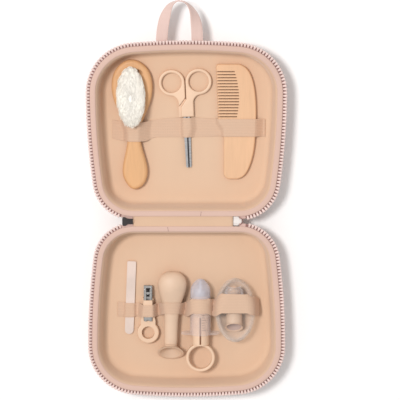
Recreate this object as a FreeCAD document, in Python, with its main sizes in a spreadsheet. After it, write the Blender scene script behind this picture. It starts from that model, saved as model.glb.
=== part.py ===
"""Zip-round baby grooming kit: a clamshell case, open flat, with eight tools held by two elastic straps.

The origin is the centre of the base half's resting face. +X is right, +Y runs from the base to the lid,
+Z is up. Each half is drawn in its own frame, with y = 0 on its hinge edge and y growing away from it.
"""
import FreeCAD
import Part
import Sketcher
import math
import os
from types import SimpleNamespace

V = FreeCAD.Vector

# Driving dimensions: name, value (millimetres, degrees or a count) and what it measures.
DIMENSIONS = (
    ("rim_width", 191.6, "widest rim, without the teeth"),
    ("rim_depth", 172.0, "rim from hinge edge to far edge"),
    ("far_corner_radius", 46.0, "rim corners away from the hinge"),
    ("hinge_corner_radius", 37.0, "rim corners beside the hinge"),
    ("hinge_corner_run", 42.8, "widest rim to the straight rim edge at the hinge"),
    ("far_crown", 2.0, "bow of the far rim edge"),
    ("half_height", 30.0, "resting face to rim of one half"),
    ("hinge_gap", 10.0, "between the two rims, open flat"),
    ("shell_inset", 3.2, "rim edge to the shell's outer wall"),
    ("shell_wall", 3.0, "moulded shell wall"),
    ("shell_floor", 3.0, "moulded shell floor"),
    ("shell_draft", 6.0, "degrees, wall draft"),
    ("shell_floor_radius", 10.0, "outer floor edge"),
    ("liner_thickness", 0.8, "ribbed liner"),
    ("liner_gap", 0.15, "glue line between liner and shell walls"),
    ("binding_thickness", 1.0, "rim binding"),
    ("binding_width", 7.0, "rim binding, edge to edge"),
    ("binding_edge_radius", 0.45, "rolled edges of the binding"),
    ("tape_thickness", 0.8, "zip tape and hinge fabric"),
    ("tape_width", 5.8, "zip tape, edge to edge"),
    ("tape_reach", 0.8, "zip tape past the binding"),
    ("tooth_reach", 3.2, "zip teeth past the tape"),
    ("tooth_root", 1.2, "solid bead at the root of the teeth"),
    ("tooth_pitch", 3.2, "zip tooth to zip tooth"),
    ("tooth_height", 2.2, "zip teeth, measured up the rim"),
    ("tooth_drop", 0.2, "top of the teeth below the rim"),
    ("fit_gap", 0.1, "between pieces sewn or pressed together"),
    ("seat_gap", 0.3, "tool to liner, and strap to tool"),
    ("cut_overrun", 1.0, "how far a cutter passes the face it opens"),
    ("fabric_left_room", 0.4, "left end of the hinge fabric to the rim's corner"),
    ("fabric_right_room", 6.4, "right end of the hinge fabric to the rim's corner"),
    ("fabric_lap", 4.6, "hinge fabric under each binding"),
    ("tail_length", 4.0, "tongue of hinge fabric inside the slider"),
    ("tail_width", 3.4, "tongue of hinge fabric inside the slider"),
    ("end_loop_lap", 0.6, "closed zip end, inside the rim's corners"),
    ("end_loop_height", 3.2, "closed zip end, measured up the rim"),
    ("slider_length", 10.6, "zip slider, along the zip"),
    ("slider_wide", 8.8, "zip slider, at its open end"),
    ("slider_narrow", 5.4, "zip slider, at its closed end"),
    ("slider_plate", 1.2, "zip slider plates"),
    ("slider_channel", 1.6, "between the slider's plates"),
    ("slider_post", 1.8, "wedge between the slider's plates"),
    ("slider_overlap", 2.8, "hinge fabric's tongue under the slider's plates"),
    ("lug_length", 6.8, "slider's pull bridge, along the zip"),
    ("lug_drop", 3.8, "slider's pull bridge below the plate"),
    ("lug_bar", 1.1, "thickness of the pull bridge"),
    ("lug_width", 2.0, "pull bridge, across the zip"),
    ("pull_length", 21.0, "zip pull"),
    ("pull_width", 6.6, "zip pull"),
    ("pull_thickness", 1.3, "zip pull"),
    ("pull_window_width", 3.6, "window that hangs on the bridge"),
    ("pull_window_length", 5.2, "window that hangs on the bridge"),
    ("handle_left_x", -24.3, "left leg of the carry handle"),
    ("handle_right_x", 10.8, "right leg of the carry handle"),
    ("handle_reach", 38.0, "carry handle past the zip teeth"),
    ("handle_width", 11.5, "handle ribbon"),
    ("handle_thickness", 1.2, "handle ribbon"),
    ("handle_drop", 1.0, "handle ribbon below the zip teeth"),
    ("handle_gap", 0.9, "handle tab to handle loop"),
    ("strap_thickness", 0.9, "elastic straps"),
    ("strap_tab", 5.0, "sewn ends of the straps"),
    ("strap_slope", 4.0, "run in which a strap rises over a tool"),
    ("lid_strap_width", 19.0, "strap across the lid"),
    ("base_strap_width", 15.6, "strap across the base"),
    ("base_strap_room", 81.6, "middle of the strap across the base to the far rim"),
    ("brush_x", -51.3, "handle end of the brush"),
    ("brush_foot_room", 24.8, "hinge rim to the handle end of the brush"),
    ("brush_head_room", 16.2, "head of the brush to the far rim"),
    ("brush_turn", 1.8, "degrees"),
    ("brush_head_width", 41.0, "brush head"),
    ("brush_handle_width", 25.0, "brush handle"),
    ("brush_neck_width", 13.0, "brush neck"),
    ("brush_thickness", 9.0, "brush body"),
    ("brush_edge_radius", 3.4, "brush body"),
    ("tuft_strap_room", 1.8, "strap to the bristle field"),
    ("tuft_head_room", 7.0, "bristle field to the end of the head"),
    ("tuft_field_width", 29.0, "bristle field"),
    ("tuft_pitch", 5.3, "tuft to tuft"),
    ("tuft_foot_radius", 1.6, "tuft at the wood"),
    ("tuft_tip_radius", 2.4, "tuft at its tip"),
    ("tuft_height", 13.2, "tuft"),
    ("scissors_x", 0.5, "scissors pivot"),
    ("scissors_room", 25.9, "scissors rings to the far rim"),
    ("scissors_turn", 2.6, "degrees"),
    ("ring_spread", 13.6, "scissors axis to ring centre"),
    ("ring_reach", 45.5, "pivot to ring centres"),
    ("ring_outer_radius", 13.2, "scissors rings"),
    ("ring_hole_radius", 9.9, "scissors rings"),
    ("ring_edge_radius", 1.3, "scissors rings"),
    ("shank_end", 10.4, "pivot to the end of the plastic shanks"),
    ("shank_half", 7.6, "scissors axis to a shank's outer edge"),
    ("shank_lap", 5.2, "scissors axis to a shank's inner edge"),
    ("lap_top", 20.6, "pivot to where the lap starts to lean"),
    ("split_foot", 28.4, "pivot to where the lap ends"),
    ("web_foot", 21.4, "pivot to the lower half's raised web, at its outer edge"),
    ("web_split_foot", 30.4, "pivot to the lower half's raised web, at the axis"),
    ("flank_radius", 8.0, "hollow between ring and shank"),
    ("handle_layer", 2.1, "plastic layer of one shank"),
    ("layer_gap", 0.1, "between the two scissors halves"),
    ("handle_top", 2.4, "plastic above the layer gap"),
    ("blade_thickness", 1.7, "scissors blades"),
    ("blade_length", 41.0, "pivot to blade tips"),
    ("blade_half", 3.9, "blade half width at the pivot"),
    ("blade_shoulder", 4.4, "pivot to where a blade starts to narrow"),
    ("blade_neck", 10.0, "pivot to where a blade has narrowed"),
    ("blade_neck_half", 1.65, "blade half width where it has narrowed"),
    ("blade_neck_shift", 1.6, "axis to the middle of a blade where it has narrowed"),
    ("blade_tip_radius", 1.3, "blunt blade tips"),
    ("blade_tip_shift", 1.35, "axis to the middle of a blade at its tip"),
    ("tang_length", 6.0, "blade inside the plastic shank"),
    ("tang_half", 3.1, "half width of the blade inside the shank"),
    ("rivet_radius", 1.6, "scissors rivet"),
    ("rivet_head_radius", 2.8, "scissors rivet"),
    ("rivet_head", 0.6, "scissors rivet heads"),
    ("rivet_play", 0.1, "hole round the rivet"),
    ("comb_x", 29.6, "teeth tips of the comb"),
    ("comb_foot_room", 34.8, "hinge rim to the lower end of the comb"),
    ("comb_head_room", 20.9, "comb to the far rim"),
    ("comb_width", 40.4, "comb at its back"),
    ("comb_step", 7.8, "teeth tips past the comb's handle"),
    ("comb_lean", 2.2, "top tooth tip past the lowest one"),
    ("comb_thickness", 5.5, "comb"),
    ("comb_edge_radius", 1.5, "comb"),
    ("comb_corner_radius", 3.0, "comb corners"),
    ("slot_room", 7.6, "top comb slot to the comb's end"),
    ("slot_pitch", 3.02, "comb slot to comb slot"),
    ("slot_count", 16, "comb slots"),
    ("slot_width", 1.15, "comb slots"),
    ("slot_depth", 23.0, "deepest comb slot"),
    ("slot_bow", 4.3, "bow of the line of slot ends"),
    ("file_x", -59.3, "lower end of the nail file"),
    ("file_turn", -2.5, "degrees"),
    ("file_length", 76.0, "nail file"),
    ("file_width", 9.0, "nail file"),
    ("file_board", 1.4, "nail file core"),
    ("file_grit", 0.35, "each grit sheet"),
    ("file_corner_radius", 1.2, "square end of the file"),
    ("clipper_x", -39.5, "clipper ring"),
    ("clipper_ring_radius", 11.2, "clipper ring"),
    ("clipper_hole_radius", 6.6, "clipper ring"),
    ("clipper_body_length", 36.0, "ring centre to the front of the plastic"),
    ("clipper_body_front", 10.8, "plastic width at its front"),
    ("clipper_body_back", 15.0, "plastic width at the ring"),
    ("clipper_body_height", 7.0, "plastic body"),
    ("clipper_edge_radius", 1.4, "plastic body"),
    ("clipper_bed", 2.2, "plastic under the jaws"),
    ("jaw_width", 8.6, "clipper jaws"),
    ("jaw_front", 48.8, "ring centre to the cutting edges"),
    ("jaw_back", 12.6, "ring centre to the back of the jaws"),
    ("jaw_thickness", 1.2, "clipper jaws"),
    ("jaw_spacing", 2.0, "between the two jaws"),
    ("jaw_edge", 1.3, "length of the turned cutting edges"),
    ("jaw_bite", 1.2, "opening between the cutting edges"),
    ("jaw_play", 0.2, "jaw to plastic"),
    ("jaw_hinge_y", 15.4, "rear rivet, from the ring centre"),
    ("jaw_rivet_radius", 1.4, "rear rivet"),
    ("post_y", 42.0, "clipper post, from the ring centre"),
    ("post_radius", 1.4, "clipper post"),
    ("post_play", 0.35, "hole round the post"),
    ("post_head_radius", 2.3, "foot of the clipper post"),
    ("post_head", 0.7, "foot of the clipper post"),
    ("lever_pin_radius", 0.7, "cross pin of the post"),
    ("lever_lift", 2.2, "upper jaw to lever arm"),
    ("lever_thickness", 1.3, "lever arm"),
    ("lever_width", 7.4, "lever arm"),
    ("lever_back", 12.6, "ring centre to the lever's free end"),
    ("lever_front", 45.6, "ring centre to the lever's fork end"),
    ("lever_fork", 12.1, "length of the lever's fork"),
    ("lever_nose_gap", 0.15, "fork to upper jaw"),
    ("grip_start", 17.0, "ring centre to the lever grip's back"),
    ("grip_length", 17.6, "lever grip"),
    ("grip_width", 10.6, "lever grip"),
    ("grip_thickness", 1.5, "lever grip"),
    ("aspirator_x", -16.9, "aspirator cup end"),
    ("aspirator_room", 29.0, "aspirator cup end to the far rim"),
    ("aspirator_turn", -1.55, "degrees"),
    ("aspirator_length", 94.0, "aspirator"),
    ("stem_start", 18.8, "aspirator stem, from the cup end"),
    ("bulb_half_width", 14.6, "aspirator bulb"),
    ("bulb_half_height", 10.4, "aspirator bulb"),
    ("stem_radius", 6.5, "aspirator stem"),
    ("bulb_middle", 81.0, "widest part of the bulb, from the cup end"),
    ("aspirator_tip", 0.3, "degrees, how far the aspirator leans down on its cup"),
    ("aspirator_wall", 1.8, "soft wall"),
    ("cup_radius", 13.4, "aspirator cup at its mouth"),
    ("cup_foot_radius", 5.6, "aspirator cup at its foot"),
    ("cup_depth", 8.0, "aspirator cup"),
    ("cup_lean", 42.0, "degrees, cup mouth above level"),
    ("cup_reach", 9.0, "middle of the cup's mouth, from the cup end"),
    ("cup_collar", 3.4, "collar between cup and stem"),
    ("cup_wall", 1.4, "cup wall"),
    ("dispenser_x", 13.9, "dispenser flange"),
    ("dispenser_room", 19.0, "plunger ring to the far rim"),
    ("barrel_radius", 10.8, "dispenser barrel"),
    ("barrel_wall", 1.2, "dispenser barrel"),
    ("barrel_length", 38.4, "dispenser barrel"),
    ("flange_half_width", 19.4, "finger flange"),
    ("flange_half_height", 7.4, "finger flange"),
    ("flange_thickness", 2.4, "finger flange"),
    ("nose_radius", 5.4, "spigot that carries the soft tip"),
    ("nose_length", 6.0, "spigot that carries the soft tip"),
    ("nose_bore", 2.0, "bore of the spigot"),
    ("tip_length", 18.6, "soft tip"),
    ("tip_radius", 10.2, "soft tip"),
    ("tip_straight", 6.4, "cylinder at the soft tip's base"),
    ("tip_end_radius", 2.6, "soft tip's end"),
    ("tip_bore", 1.2, "soft tip's bore"),
    ("plunger_radius", 8.6, "plunger stem"),
    ("plunger_slot", 1.8, "four slots along the plunger stem"),
    ("plunger_slot_depth", 5.6, "four slots along the plunger stem"),
    ("plunger_in", 18.6, "plunger stem inside the barrel"),
    ("plunger_out", 10.6, "plunger stem outside the flange"),
    ("plunger_ring_radius", 14.8, "plunger ring"),
    ("plunger_ring_hole", 11.7, "plunger ring"),
    ("plunger_ring_height", 7.0, "plunger ring"),
    ("plunger_ring_edge", 1.2, "rounded edges of the plunger ring"),
    ("plunger_ring_lap", 1.2, "plunger ring into the stem"),
    ("seal_length", 6.0, "plunger seal"),
    ("seal_play", 0.15, "seal to barrel"),
    ("brush_case_x", 49.4, "toothbrush case"),
    ("brush_case_half_width", 19.8, "toothbrush case"),
    ("brush_case_half_length", 32.2, "toothbrush case"),
    ("brush_case_lip", 1.0, "rim round the toothbrush case"),
    ("brush_case_lip_thickness", 1.0, "rim round each shell"),
    ("brush_case_wall", 1.1, "toothbrush case"),
    ("brush_case_lower", 11.0, "lower shell"),
    ("brush_case_upper", 12.6, "upper shell"),
    ("brush_case_edge", 8.4, "rounded edges of the shells"),
    ("finger_radius", 8.6, "finger brush at its mouth"),
    ("finger_top_radius", 7.2, "finger brush at its closed end"),
    ("finger_wall", 1.3, "finger brush"),
    ("finger_length", 44.0, "finger brush"),
    ("finger_mouth_y", 22.4, "mouth of the finger brush, from the case's centre"),
    ("finger_x", -1.2, "finger brush, from the case's centre"),
    ("nub_radius", 0.7, "bristles of the finger brush"),
    ("nub_height", 1.6, "bristles of the finger brush"),
    ("nub_pitch", 2.9, "bristles of the finger brush"),
)

# Half width of the brush along its length: share of the length, which width, share of that width.
BRUSH_OUTLINE_SHARES = (
    (0.035, "handle", 0.64), (0.12, "handle", 1.0), (0.25, "handle", 0.82), (0.36, "neck", 1.08),
    (0.43, "neck", 1.0), (0.51, "neck", 1.34), (0.61, "head", 0.71), (0.71, "head", 0.94),
    (0.80, "head", 1.0), (0.90, "head", 0.87), (0.968, "head", 0.53),
)
# Back of the comb: share of its width, share of its length, from the top round to the lower end.
COMB_BACK_SHARES = (
    (0.57, 1.0), (0.79, 0.950), (0.91, 0.860), (0.975, 0.74), (1.0, 0.56), (0.985, 0.39), (0.94, 0.24),
    (0.85, 0.12), (0.70, 0.03), (0.52, 0.0),
)
# Where pieces lie in their half: share of the rim's depth, from the hinge edge.
LID_STRAP_SHARE = 0.5
FILE_END_SHARE = 0.675
CLIPPER_RING_SHARE = 0.6605
BRUSH_CASE_SHARE = 0.5174
# Zip slider seen from above: share of its length from the closed end, which width, share of that width.
SLIDER_OUTLINE_SHARES = (
    (0.0, "narrow", 1.0), (0.5, "narrow", 1.0), (0.75, "wide", 1.0), (0.95, "wide", 1.0), (1.0, "wide", 0.6),
)
SLIDER_POST_SHARE = 0.85
PULL_END_SHARE = 0.6
CLIPPER_WAIST_SHARES = (0.8, 1.4)
CLIPPER_ROUND_SHARE = 0.7
COLLAR_SHARE = 1.7
LEVER_RELIEF_SHARE = 0.2
GRIP_TAPER_SHARE = 0.86
GRIP_ROUND_SHARE = 0.6
CUP_LIP_SHARE = 0.6
# Finger wings of the dispenser: share of their reach, share of their height.
WING_SHARES = ((0.8, 0.62), (1.0, 0.25))
WING_ROOT_SHARE = 0.8
# Soft tip: share of the taper's length, share of the straight part's radius.
TIP_SHARES = ((0.32, 0.94), (0.62, 0.74), (0.86, 0.48))
# Plunger seal: share of its length, share of its radius.
SEAL_SHARES = ((0.0, 1.0), (0.3, 1.0), (0.45, 0.93), (0.6, 0.93), (0.75, 1.0), (0.9, 1.0))
FINGER_DOME_SHARES = (0.6, 0.72)
NUB_ROWS = 5
NUB_COLUMN_SHARE = 0.7
STRAP_MARGIN_SHARE = 0.075
# Bulb and stem of the aspirator: share of the run from stem to bulb end, and of the swell from stem to bulb.
ASPIRATOR_SHARES = (
    (0.0, 0.0), (0.175, 0.03), (0.375, 0.09), (0.5, 0.22), (0.625, 0.60), (0.75, 0.93), (0.8375, 1.0),
    (0.91875, 0.78), (0.96875, 0.36),
)
ASPIRATOR_END_SHARE = 0.45
# Carry handle: share from left leg to right leg, share of the reach, share of a quarter turn of roll.
HANDLE_SHARES = (
    (0.0, 0.0, 0.0), (0.03, 0.28, 0.06), (0.10, 0.58, 0.30), (0.22, 0.84, 0.68), (0.38, 0.97, 0.95),
    (0.55, 0.99, 1.0), (0.74, 0.90, 0.92), (0.90, 0.66, 0.58), (0.98, 0.34, 0.16), (1.0, 0.0, 0.0),
)
TUFT_SPLAY_SHARE = 0.14
TUFT_SIDES = 6
TOOTH_FLANK_SHARES = (0.28, 0.72)
SLOT_MIDDLE_SHARE = 0.4
QUARTER_TURN = 90.0
HALF_TURN = 180.0

doc = FreeCAD.newDocument("baby_grooming_kit")
sheet = doc.addObject("Spreadsheet::Sheet", "Dims")
nodes = []


class Size:
    """A length with its value now and the sheet expression that drives it."""

    def __init__(self, text, value):
        self.text = text
        self.value = value

    def joined(self, sign, other, value):
        return Size(f"({self.text} {sign} {as_size(other).text})", value)

    def __add__(self, other):
        return self.joined("+", other, self.value + as_size(other).value)

    def __sub__(self, other):
        return self.joined("-", other, self.value - as_size(other).value)

    def __mul__(self, other):
        return self.joined("*", other, self.value * as_size(other).value)

    def __truediv__(self, other):
        return self.joined("/", other, self.value / as_size(other).value)

    def __rmul__(self, other):
        return as_size(other) * self

    def __neg__(self):
        return Size(f"(-1 * {self.text})", -self.value)


ZERO = Size("0", 0.0)


def as_size(amount):
    return amount if isinstance(amount, Size) else Size(repr(amount), amount)


def fill_sheet():
    """Write the driving dimensions into the sheet and hand them back by name."""
    sizes = {}
    for row, (alias, value, meaning) in enumerate(DIMENSIONS, start=1):
        sheet.set(f"A{row}", meaning)
        sheet.set(f"B{row}", str(value))
        sheet.setAlias(f"B{row}", alias)
        sizes[alias] = Size(f"Dims.{alias}", value)
    doc.recompute()
    return SimpleNamespace(**sizes)


d = fill_sheet()

# Heights and places that several pieces share.
rim_top = d.half_height
shell_top = rim_top - d.binding_thickness - d.tape_thickness
floor_top = d.shell_floor + d.liner_thickness
seat = floor_top + d.seat_gap
hinge_y = d.rim_depth / 2 + d.hinge_gap / 2
lid_edge_y = d.rim_depth / 2 + d.hinge_gap
base_edge_y = d.rim_depth / 2
hinge_corner_x = d.rim_width / 2 - d.hinge_corner_run
teeth_reach = d.tape_reach + d.fit_gap + d.tooth_reach

# Places along a half, from its hinge edge, and the lengths that fill it.
lid_strap_y = d.rim_depth * LID_STRAP_SHARE
base_strap_y = d.rim_depth - d.base_strap_room
brush_length = d.rim_depth - d.brush_foot_room - d.brush_head_room
tuft_field_start = lid_strap_y + d.lid_strap_width / 2 + d.tuft_strap_room - d.brush_foot_room
tuft_field_end = brush_length - d.tuft_head_room
tuft_field_length = tuft_field_end - tuft_field_start
tuft_field_y = (tuft_field_start + tuft_field_end) / 2
scissors_y = d.rim_depth - d.scissors_room - d.ring_outer_radius - d.ring_reach
comb_length = d.rim_depth - d.comb_foot_room - d.comb_head_room
file_y = d.rim_depth * FILE_END_SHARE
clipper_y = d.rim_depth * CLIPPER_RING_SHARE
aspirator_y = d.rim_depth - d.aspirator_room
soft_run = d.aspirator_length - d.stem_start
plunger_reach = d.plunger_out + 2 * d.plunger_ring_radius - d.plunger_ring_lap
dispenser_y = d.rim_depth - d.dispenser_room - plunger_reach
brush_case_y = d.rim_depth * BRUSH_CASE_SHARE


def bind(thing, place, amount):
    thing.setExpression(place, as_size(amount).text)


def put(thing, x=ZERO, y=ZERO, z=ZERO, turn=ZERO):
    """Place a piece: its own origin at x, y, z, turned about the vertical."""
    thing.Placement = FreeCAD.Placement(V(), FreeCAD.Rotation(V(0, 0, 1), turn.value))
    for axis, amount in (("x", x), ("y", y), ("z", z)):
        bind(thing, f"Placement.Base.{axis}", amount)
    if turn is not ZERO:
        bind(thing, "Placement.Rotation.Angle", turn)
    return thing


def keep(thing, label):
    """Name a finished piece, which is written to its own file."""
    thing.Label = label
    nodes.append(thing)
    return thing


def new_body(label):
    return doc.addObject("PartDesign::Body", label)


def new_sketch(body, role="XY_Plane", level=ZERO):
    """A sketch on one of the body's own planes, lifted along that plane's normal."""
    sketch = body.newObject("Sketcher::SketchObject", f"{body.Name}_sketch")
    plane = next(item for item in body.Origin.OriginFeatures if item.Role == role)
    sketch.AttachmentSupport = [(plane, "")]
    sketch.MapMode = "FlatFace"
    bind(sketch, "AttachmentOffset.Base.z", level)
    return sketch


def hold(sketch, geometry, point, x, y):
    """Tie a point of the sketch to its place, measured from the sketch's origin."""
    for kind, amount in (("DistanceX", x), ("DistanceY", y)):
        row = sketch.addConstraint(Sketcher.Constraint(kind, -1, 1, geometry, point, as_size(amount).value))
        bind(sketch, f"Constraints[{row}]", amount)


def hold_radius(sketch, geometry, radius):
    row = sketch.addConstraint(Sketcher.Constraint("Radius", geometry, as_size(radius).value))
    bind(sketch, f"Constraints[{row}]", radius)


def flat(x, y):
    return V(as_size(x).value, as_size(y).value, 0)


def draw_polygon(sketch, corners):
    """A closed outline of straight edges, each corner tied to the sheet."""
    first = sketch.GeometryCount
    count = len(corners)
    for index in range(count):
        start, end = corners[index], corners[(index + 1) % count]
        sketch.addGeometry(Part.LineSegment(flat(*start), flat(*end)), False)
    for index in range(count):
        after = first + (index + 1) % count
        sketch.addConstraint(Sketcher.Constraint("Coincident", first + index, 2, after, 1))
    for index, corner in enumerate(corners):
        hold(sketch, first + index, 1, *corner)


def draw_circle(sketch, x, y, radius):
    row = sketch.addGeometry(Part.Circle(flat(x, y), V(0, 0, 1), radius.value), False)
    hold(sketch, row, 3, x, y)
    hold_radius(sketch, row, radius)


def draw_ellipse(sketch, half_x, half_y):
    """An ellipse about the sketch's origin; the longer half is along y."""
    ellipse = Part.Ellipse(V(), half_y.value, half_x.value)
    ellipse.rotate(FreeCAD.Placement(V(), FreeCAD.Rotation(V(0, 0, 1), QUARTER_TURN)))
    sketch.addGeometry(ellipse, False)


def pad(body, sketch, length, back=False, both=False, taper=None):
    feature = body.newObject("PartDesign::Pad", f"{body.Name}_pad")
    feature.Profile = sketch
    feature.SideType = "Symmetric" if both else "One side"
    feature.Reversed = back
    bind(feature, "Length", length)
    if taper is not None:
        bind(feature, "TaperAngle", -taper)
    doc.recompute()
    return feature


def pocket(body, sketch, depth=None, taper=None, both=False, back=False):
    """Cut to a depth, or through everything when no depth is given."""
    before = body.Shape.Volume
    feature = body.newObject("PartDesign::Pocket", f"{body.Name}_pocket")
    feature.Profile = sketch
    feature.SideType = "Symmetric" if both else "One side"
    feature.Reversed = back
    if depth is None:
        feature.Type = "ThroughAll"
    else:
        bind(feature, "Length", depth)
    if taper is not None:
        bind(feature, "TaperAngle", -taper)
    doc.recompute()
    if body.Shape.Volume >= before:
        raise RuntimeError(f"{body.Name}: a pocket cut nothing")
    return feature


def round_edges(body, feature, radius, chosen):
    """Round those edges of the feature that the test picks."""
    edges = [f"Edge{row}" for row, edge in enumerate(feature.Shape.Edges, start=1) if chosen(edge)]
    rounded = body.newObject("PartDesign::Fillet", f"{body.Name}_round")
    rounded.Base = (feature, edges)
    bind(rounded, "Radius", radius)
    doc.recompute()
    return rounded


def level_at(height):
    """A test for edges that lie flat at one height of their body."""
    small = as_size(d.fit_gap).value / 2

    def chosen(edge):
        box = edge.BoundBox
        return abs(box.ZMin - height.value) < small and abs(box.ZMax - height.value) < small

    return chosen


def level_at_any(*heights):
    tests = [level_at(height) for height in heights]
    return lambda edge: any(test(edge) for test in tests)


def cut(base, tools, name):
    """Take the tools away from the base, one after another."""
    for row, tool in enumerate(tools):
        step = doc.addObject("Part::Cut", f"{name}_cut{row}")
        step.Base = base
        step.Tool = tool
        base = step
    return base


def box(name, x0, x1, y0, y1, z0, z1):
    block = doc.addObject("Part::Box", name)
    for place, amount in (("Length", x1 - x0), ("Width", y1 - y0), ("Height", z1 - z0)):
        bind(block, place, amount)
    return put(block, x0, y0, z0)


def cylinder(name, radius, height, x=ZERO, y=ZERO, z=ZERO, axis=V(0, 0, 1)):
    rod = doc.addObject("Part::Cylinder", name)
    bind(rod, "Radius", radius)
    bind(rod, "Height", height)
    put(rod, x, y, z)
    rod.Placement = FreeCAD.Placement(rod.Placement.Base, FreeCAD.Rotation(V(0, 0, 1), axis))
    return rod


# Rim outline of a half

def rim_numbers():
    """Centres and radii of the arcs that make the rim, hinge edge on y = 0."""
    half = d.rim_width / 2
    far_x = half - d.far_corner_radius
    far_y = d.rim_depth - d.far_corner_radius - d.far_crown
    near_x = hinge_corner_x
    near_y = d.hinge_corner_radius
    spare = half - near_x
    rise = far_y - near_y
    side = (rise * rise / (spare - near_y) + near_y + spare) / 2
    lift = d.rim_depth - far_y
    bow = far_x * far_x + lift * lift - d.far_corner_radius * d.far_corner_radius
    far = bow / (2 * (lift - d.far_corner_radius))
    return SimpleNamespace(near_x=near_x, near_y=near_y, near=d.hinge_corner_radius, far_x=far_x, far_y=far_y,
                           corner=d.far_corner_radius, side=side, side_x=half - side, far=far,
                           far_middle=d.rim_depth - far)


rim = rim_numbers()


def rim_arcs():
    """The rim's arcs from the right hinge corner round to the left one: centre, radius, two angles."""
    near_angle = math.atan2(rim.near_y.value - rim.far_y.value, rim.near_x.value - rim.side_x.value)
    corner_angle = math.atan2(rim.far_y.value - rim.far_middle.value, rim.far_x.value)
    right = [
        (V(rim.near_x.value, rim.near_y.value, 0), rim.near.value, -math.pi / 2, near_angle),
        (V(rim.side_x.value, rim.far_y.value, 0), rim.side.value, near_angle, 0.0),
        (V(rim.far_x.value, rim.far_y.value, 0), rim.corner.value, 0.0, corner_angle),
    ]
    far = [(V(0, rim.far_middle.value, 0), rim.far.value, corner_angle, math.pi - corner_angle)]
    left = [(V(-centre.x, centre.y, 0), radius, math.pi - end, math.pi - start)
            for centre, radius, start, end in reversed(right)]
    return right + far + left


def draw_rim(sketch, inset):
    """The rim's outline, drawn in by an inset, as one line and seven tangent arcs."""
    first = sketch.GeometryCount
    step = as_size(inset).value
    start = V(-rim.near_x.value, step, 0)
    sketch.addGeometry(Part.LineSegment(start, V(rim.near_x.value, step, 0)), False)
    for centre, radius, begin, end in rim_arcs():
        circle = Part.Circle(centre, V(0, 0, 1), radius - step)
        sketch.addGeometry(Part.ArcOfCircle(circle, begin, end), False)
    count = sketch.GeometryCount - first
    for index in range(count):
        after = first + (index + 1) % count
        sketch.addConstraint(Sketcher.Constraint("Tangent", first + index, 2, after, 1))
    radii = (rim.near, rim.side, rim.corner, rim.far, rim.corner, rim.side, rim.near)
    for index, radius in enumerate(radii, start=1):
        hold_radius(sketch, first + index, radius - inset)
    hold(sketch, first + 1, 3, rim.near_x, rim.near_y)
    hold(sketch, first + 3, 3, rim.far_x, rim.far_y)
    hold(sketch, first + 5, 3, -rim.far_x, rim.far_y)
    hold(sketch, first + 7, 3, -rim.near_x, rim.near_y)


def on_rim(distance, inset):
    """The point this far along the rim from its right hinge corner, drawn in by an inset."""
    for centre, radius, begin, end in rim_arcs():
        length = radius * (end - begin)
        if distance <= length:
            break
        distance -= length
    angle = begin + min(distance / radius, end - begin)
    return centre + V(math.cos(angle), math.sin(angle), 0) * (radius - inset)


def rim_length():
    return sum(radius * (end - begin) for _, radius, begin, end in rim_arcs())


# The two halves of the case

def in_half(thing, half):
    """Place a piece that is drawn in the frame of one half."""
    if half == "lid":
        return put(thing, y=lid_edge_y)
    thing.Placement = FreeCAD.Placement(V(), FreeCAD.Rotation(V(0, 0, 1), HALF_TURN))
    bind(thing, "Placement.Base.y", base_edge_y)
    return thing


def tray(label, outer_inset, wall, bottom, floor, outer_radius):
    """An open tray with drafted walls and rounded floor edges."""
    body = new_body(label)
    outside = new_sketch(body, level=shell_top)
    draw_rim(outside, outer_inset)
    pad(body, outside, shell_top - bottom, back=True, taper=d.shell_draft)
    inside = new_sketch(body, level=shell_top)
    draw_rim(inside, outer_inset + wall)
    hollow = pocket(body, inside, shell_top - bottom - floor, taper=d.shell_draft)
    hollow = round_edges(body, hollow, outer_radius - wall, level_at(bottom + floor))
    round_edges(body, hollow, outer_radius, level_at(bottom))
    return body


def shell(half):
    body = tray(f"{half}_shell", d.shell_inset, d.shell_wall, ZERO, d.shell_floor, d.shell_floor_radius)
    return keep(in_half(body, half), f"{half}_shell")


def liner(half):
    inset = d.shell_inset + d.shell_wall + d.liner_gap
    radius = d.shell_floor_radius - d.shell_wall
    body = tray(f"{half}_liner", inset, d.liner_thickness, d.shell_floor, d.liner_thickness, radius)
    return keep(in_half(body, half), f"{half}_liner")


def rim_ring(label, outer_inset, inner_inset, bottom, height):
    body = new_body(label)
    outline = new_sketch(body, level=bottom)
    draw_rim(outline, outer_inset)
    draw_rim(outline, inner_inset)
    return body, pad(body, outline, height)


def binding(half):
    """The flat band sewn over the rim, with rolled upper edges."""
    bottom = rim_top - d.binding_thickness
    body, ring = rim_ring(f"{half}_rim_binding", ZERO, d.binding_width, bottom, d.binding_thickness)
    round_edges(body, ring, d.binding_edge_radius, level_at(rim_top))
    return keep(in_half(body, half), f"{half}_rim_binding")


def zip_tape(half):
    """The zip's tape, under the binding on three sides and open along the hinge."""
    inner = d.tape_width - d.tape_reach
    body, _ = rim_ring(f"{half}_zip_tape", -d.tape_reach, inner, shell_top, d.tape_thickness)
    opening = new_sketch(body, level=shell_top + d.tape_thickness)
    side = rim.near_x
    low = -d.tape_reach - d.cut_overrun
    draw_polygon(opening, ((-side, low), (side, low), (side, d.tape_width), (-side, d.tape_width)))
    pocket(body, opening)
    return keep(in_half(body, half), f"{half}_zip_tape")


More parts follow.
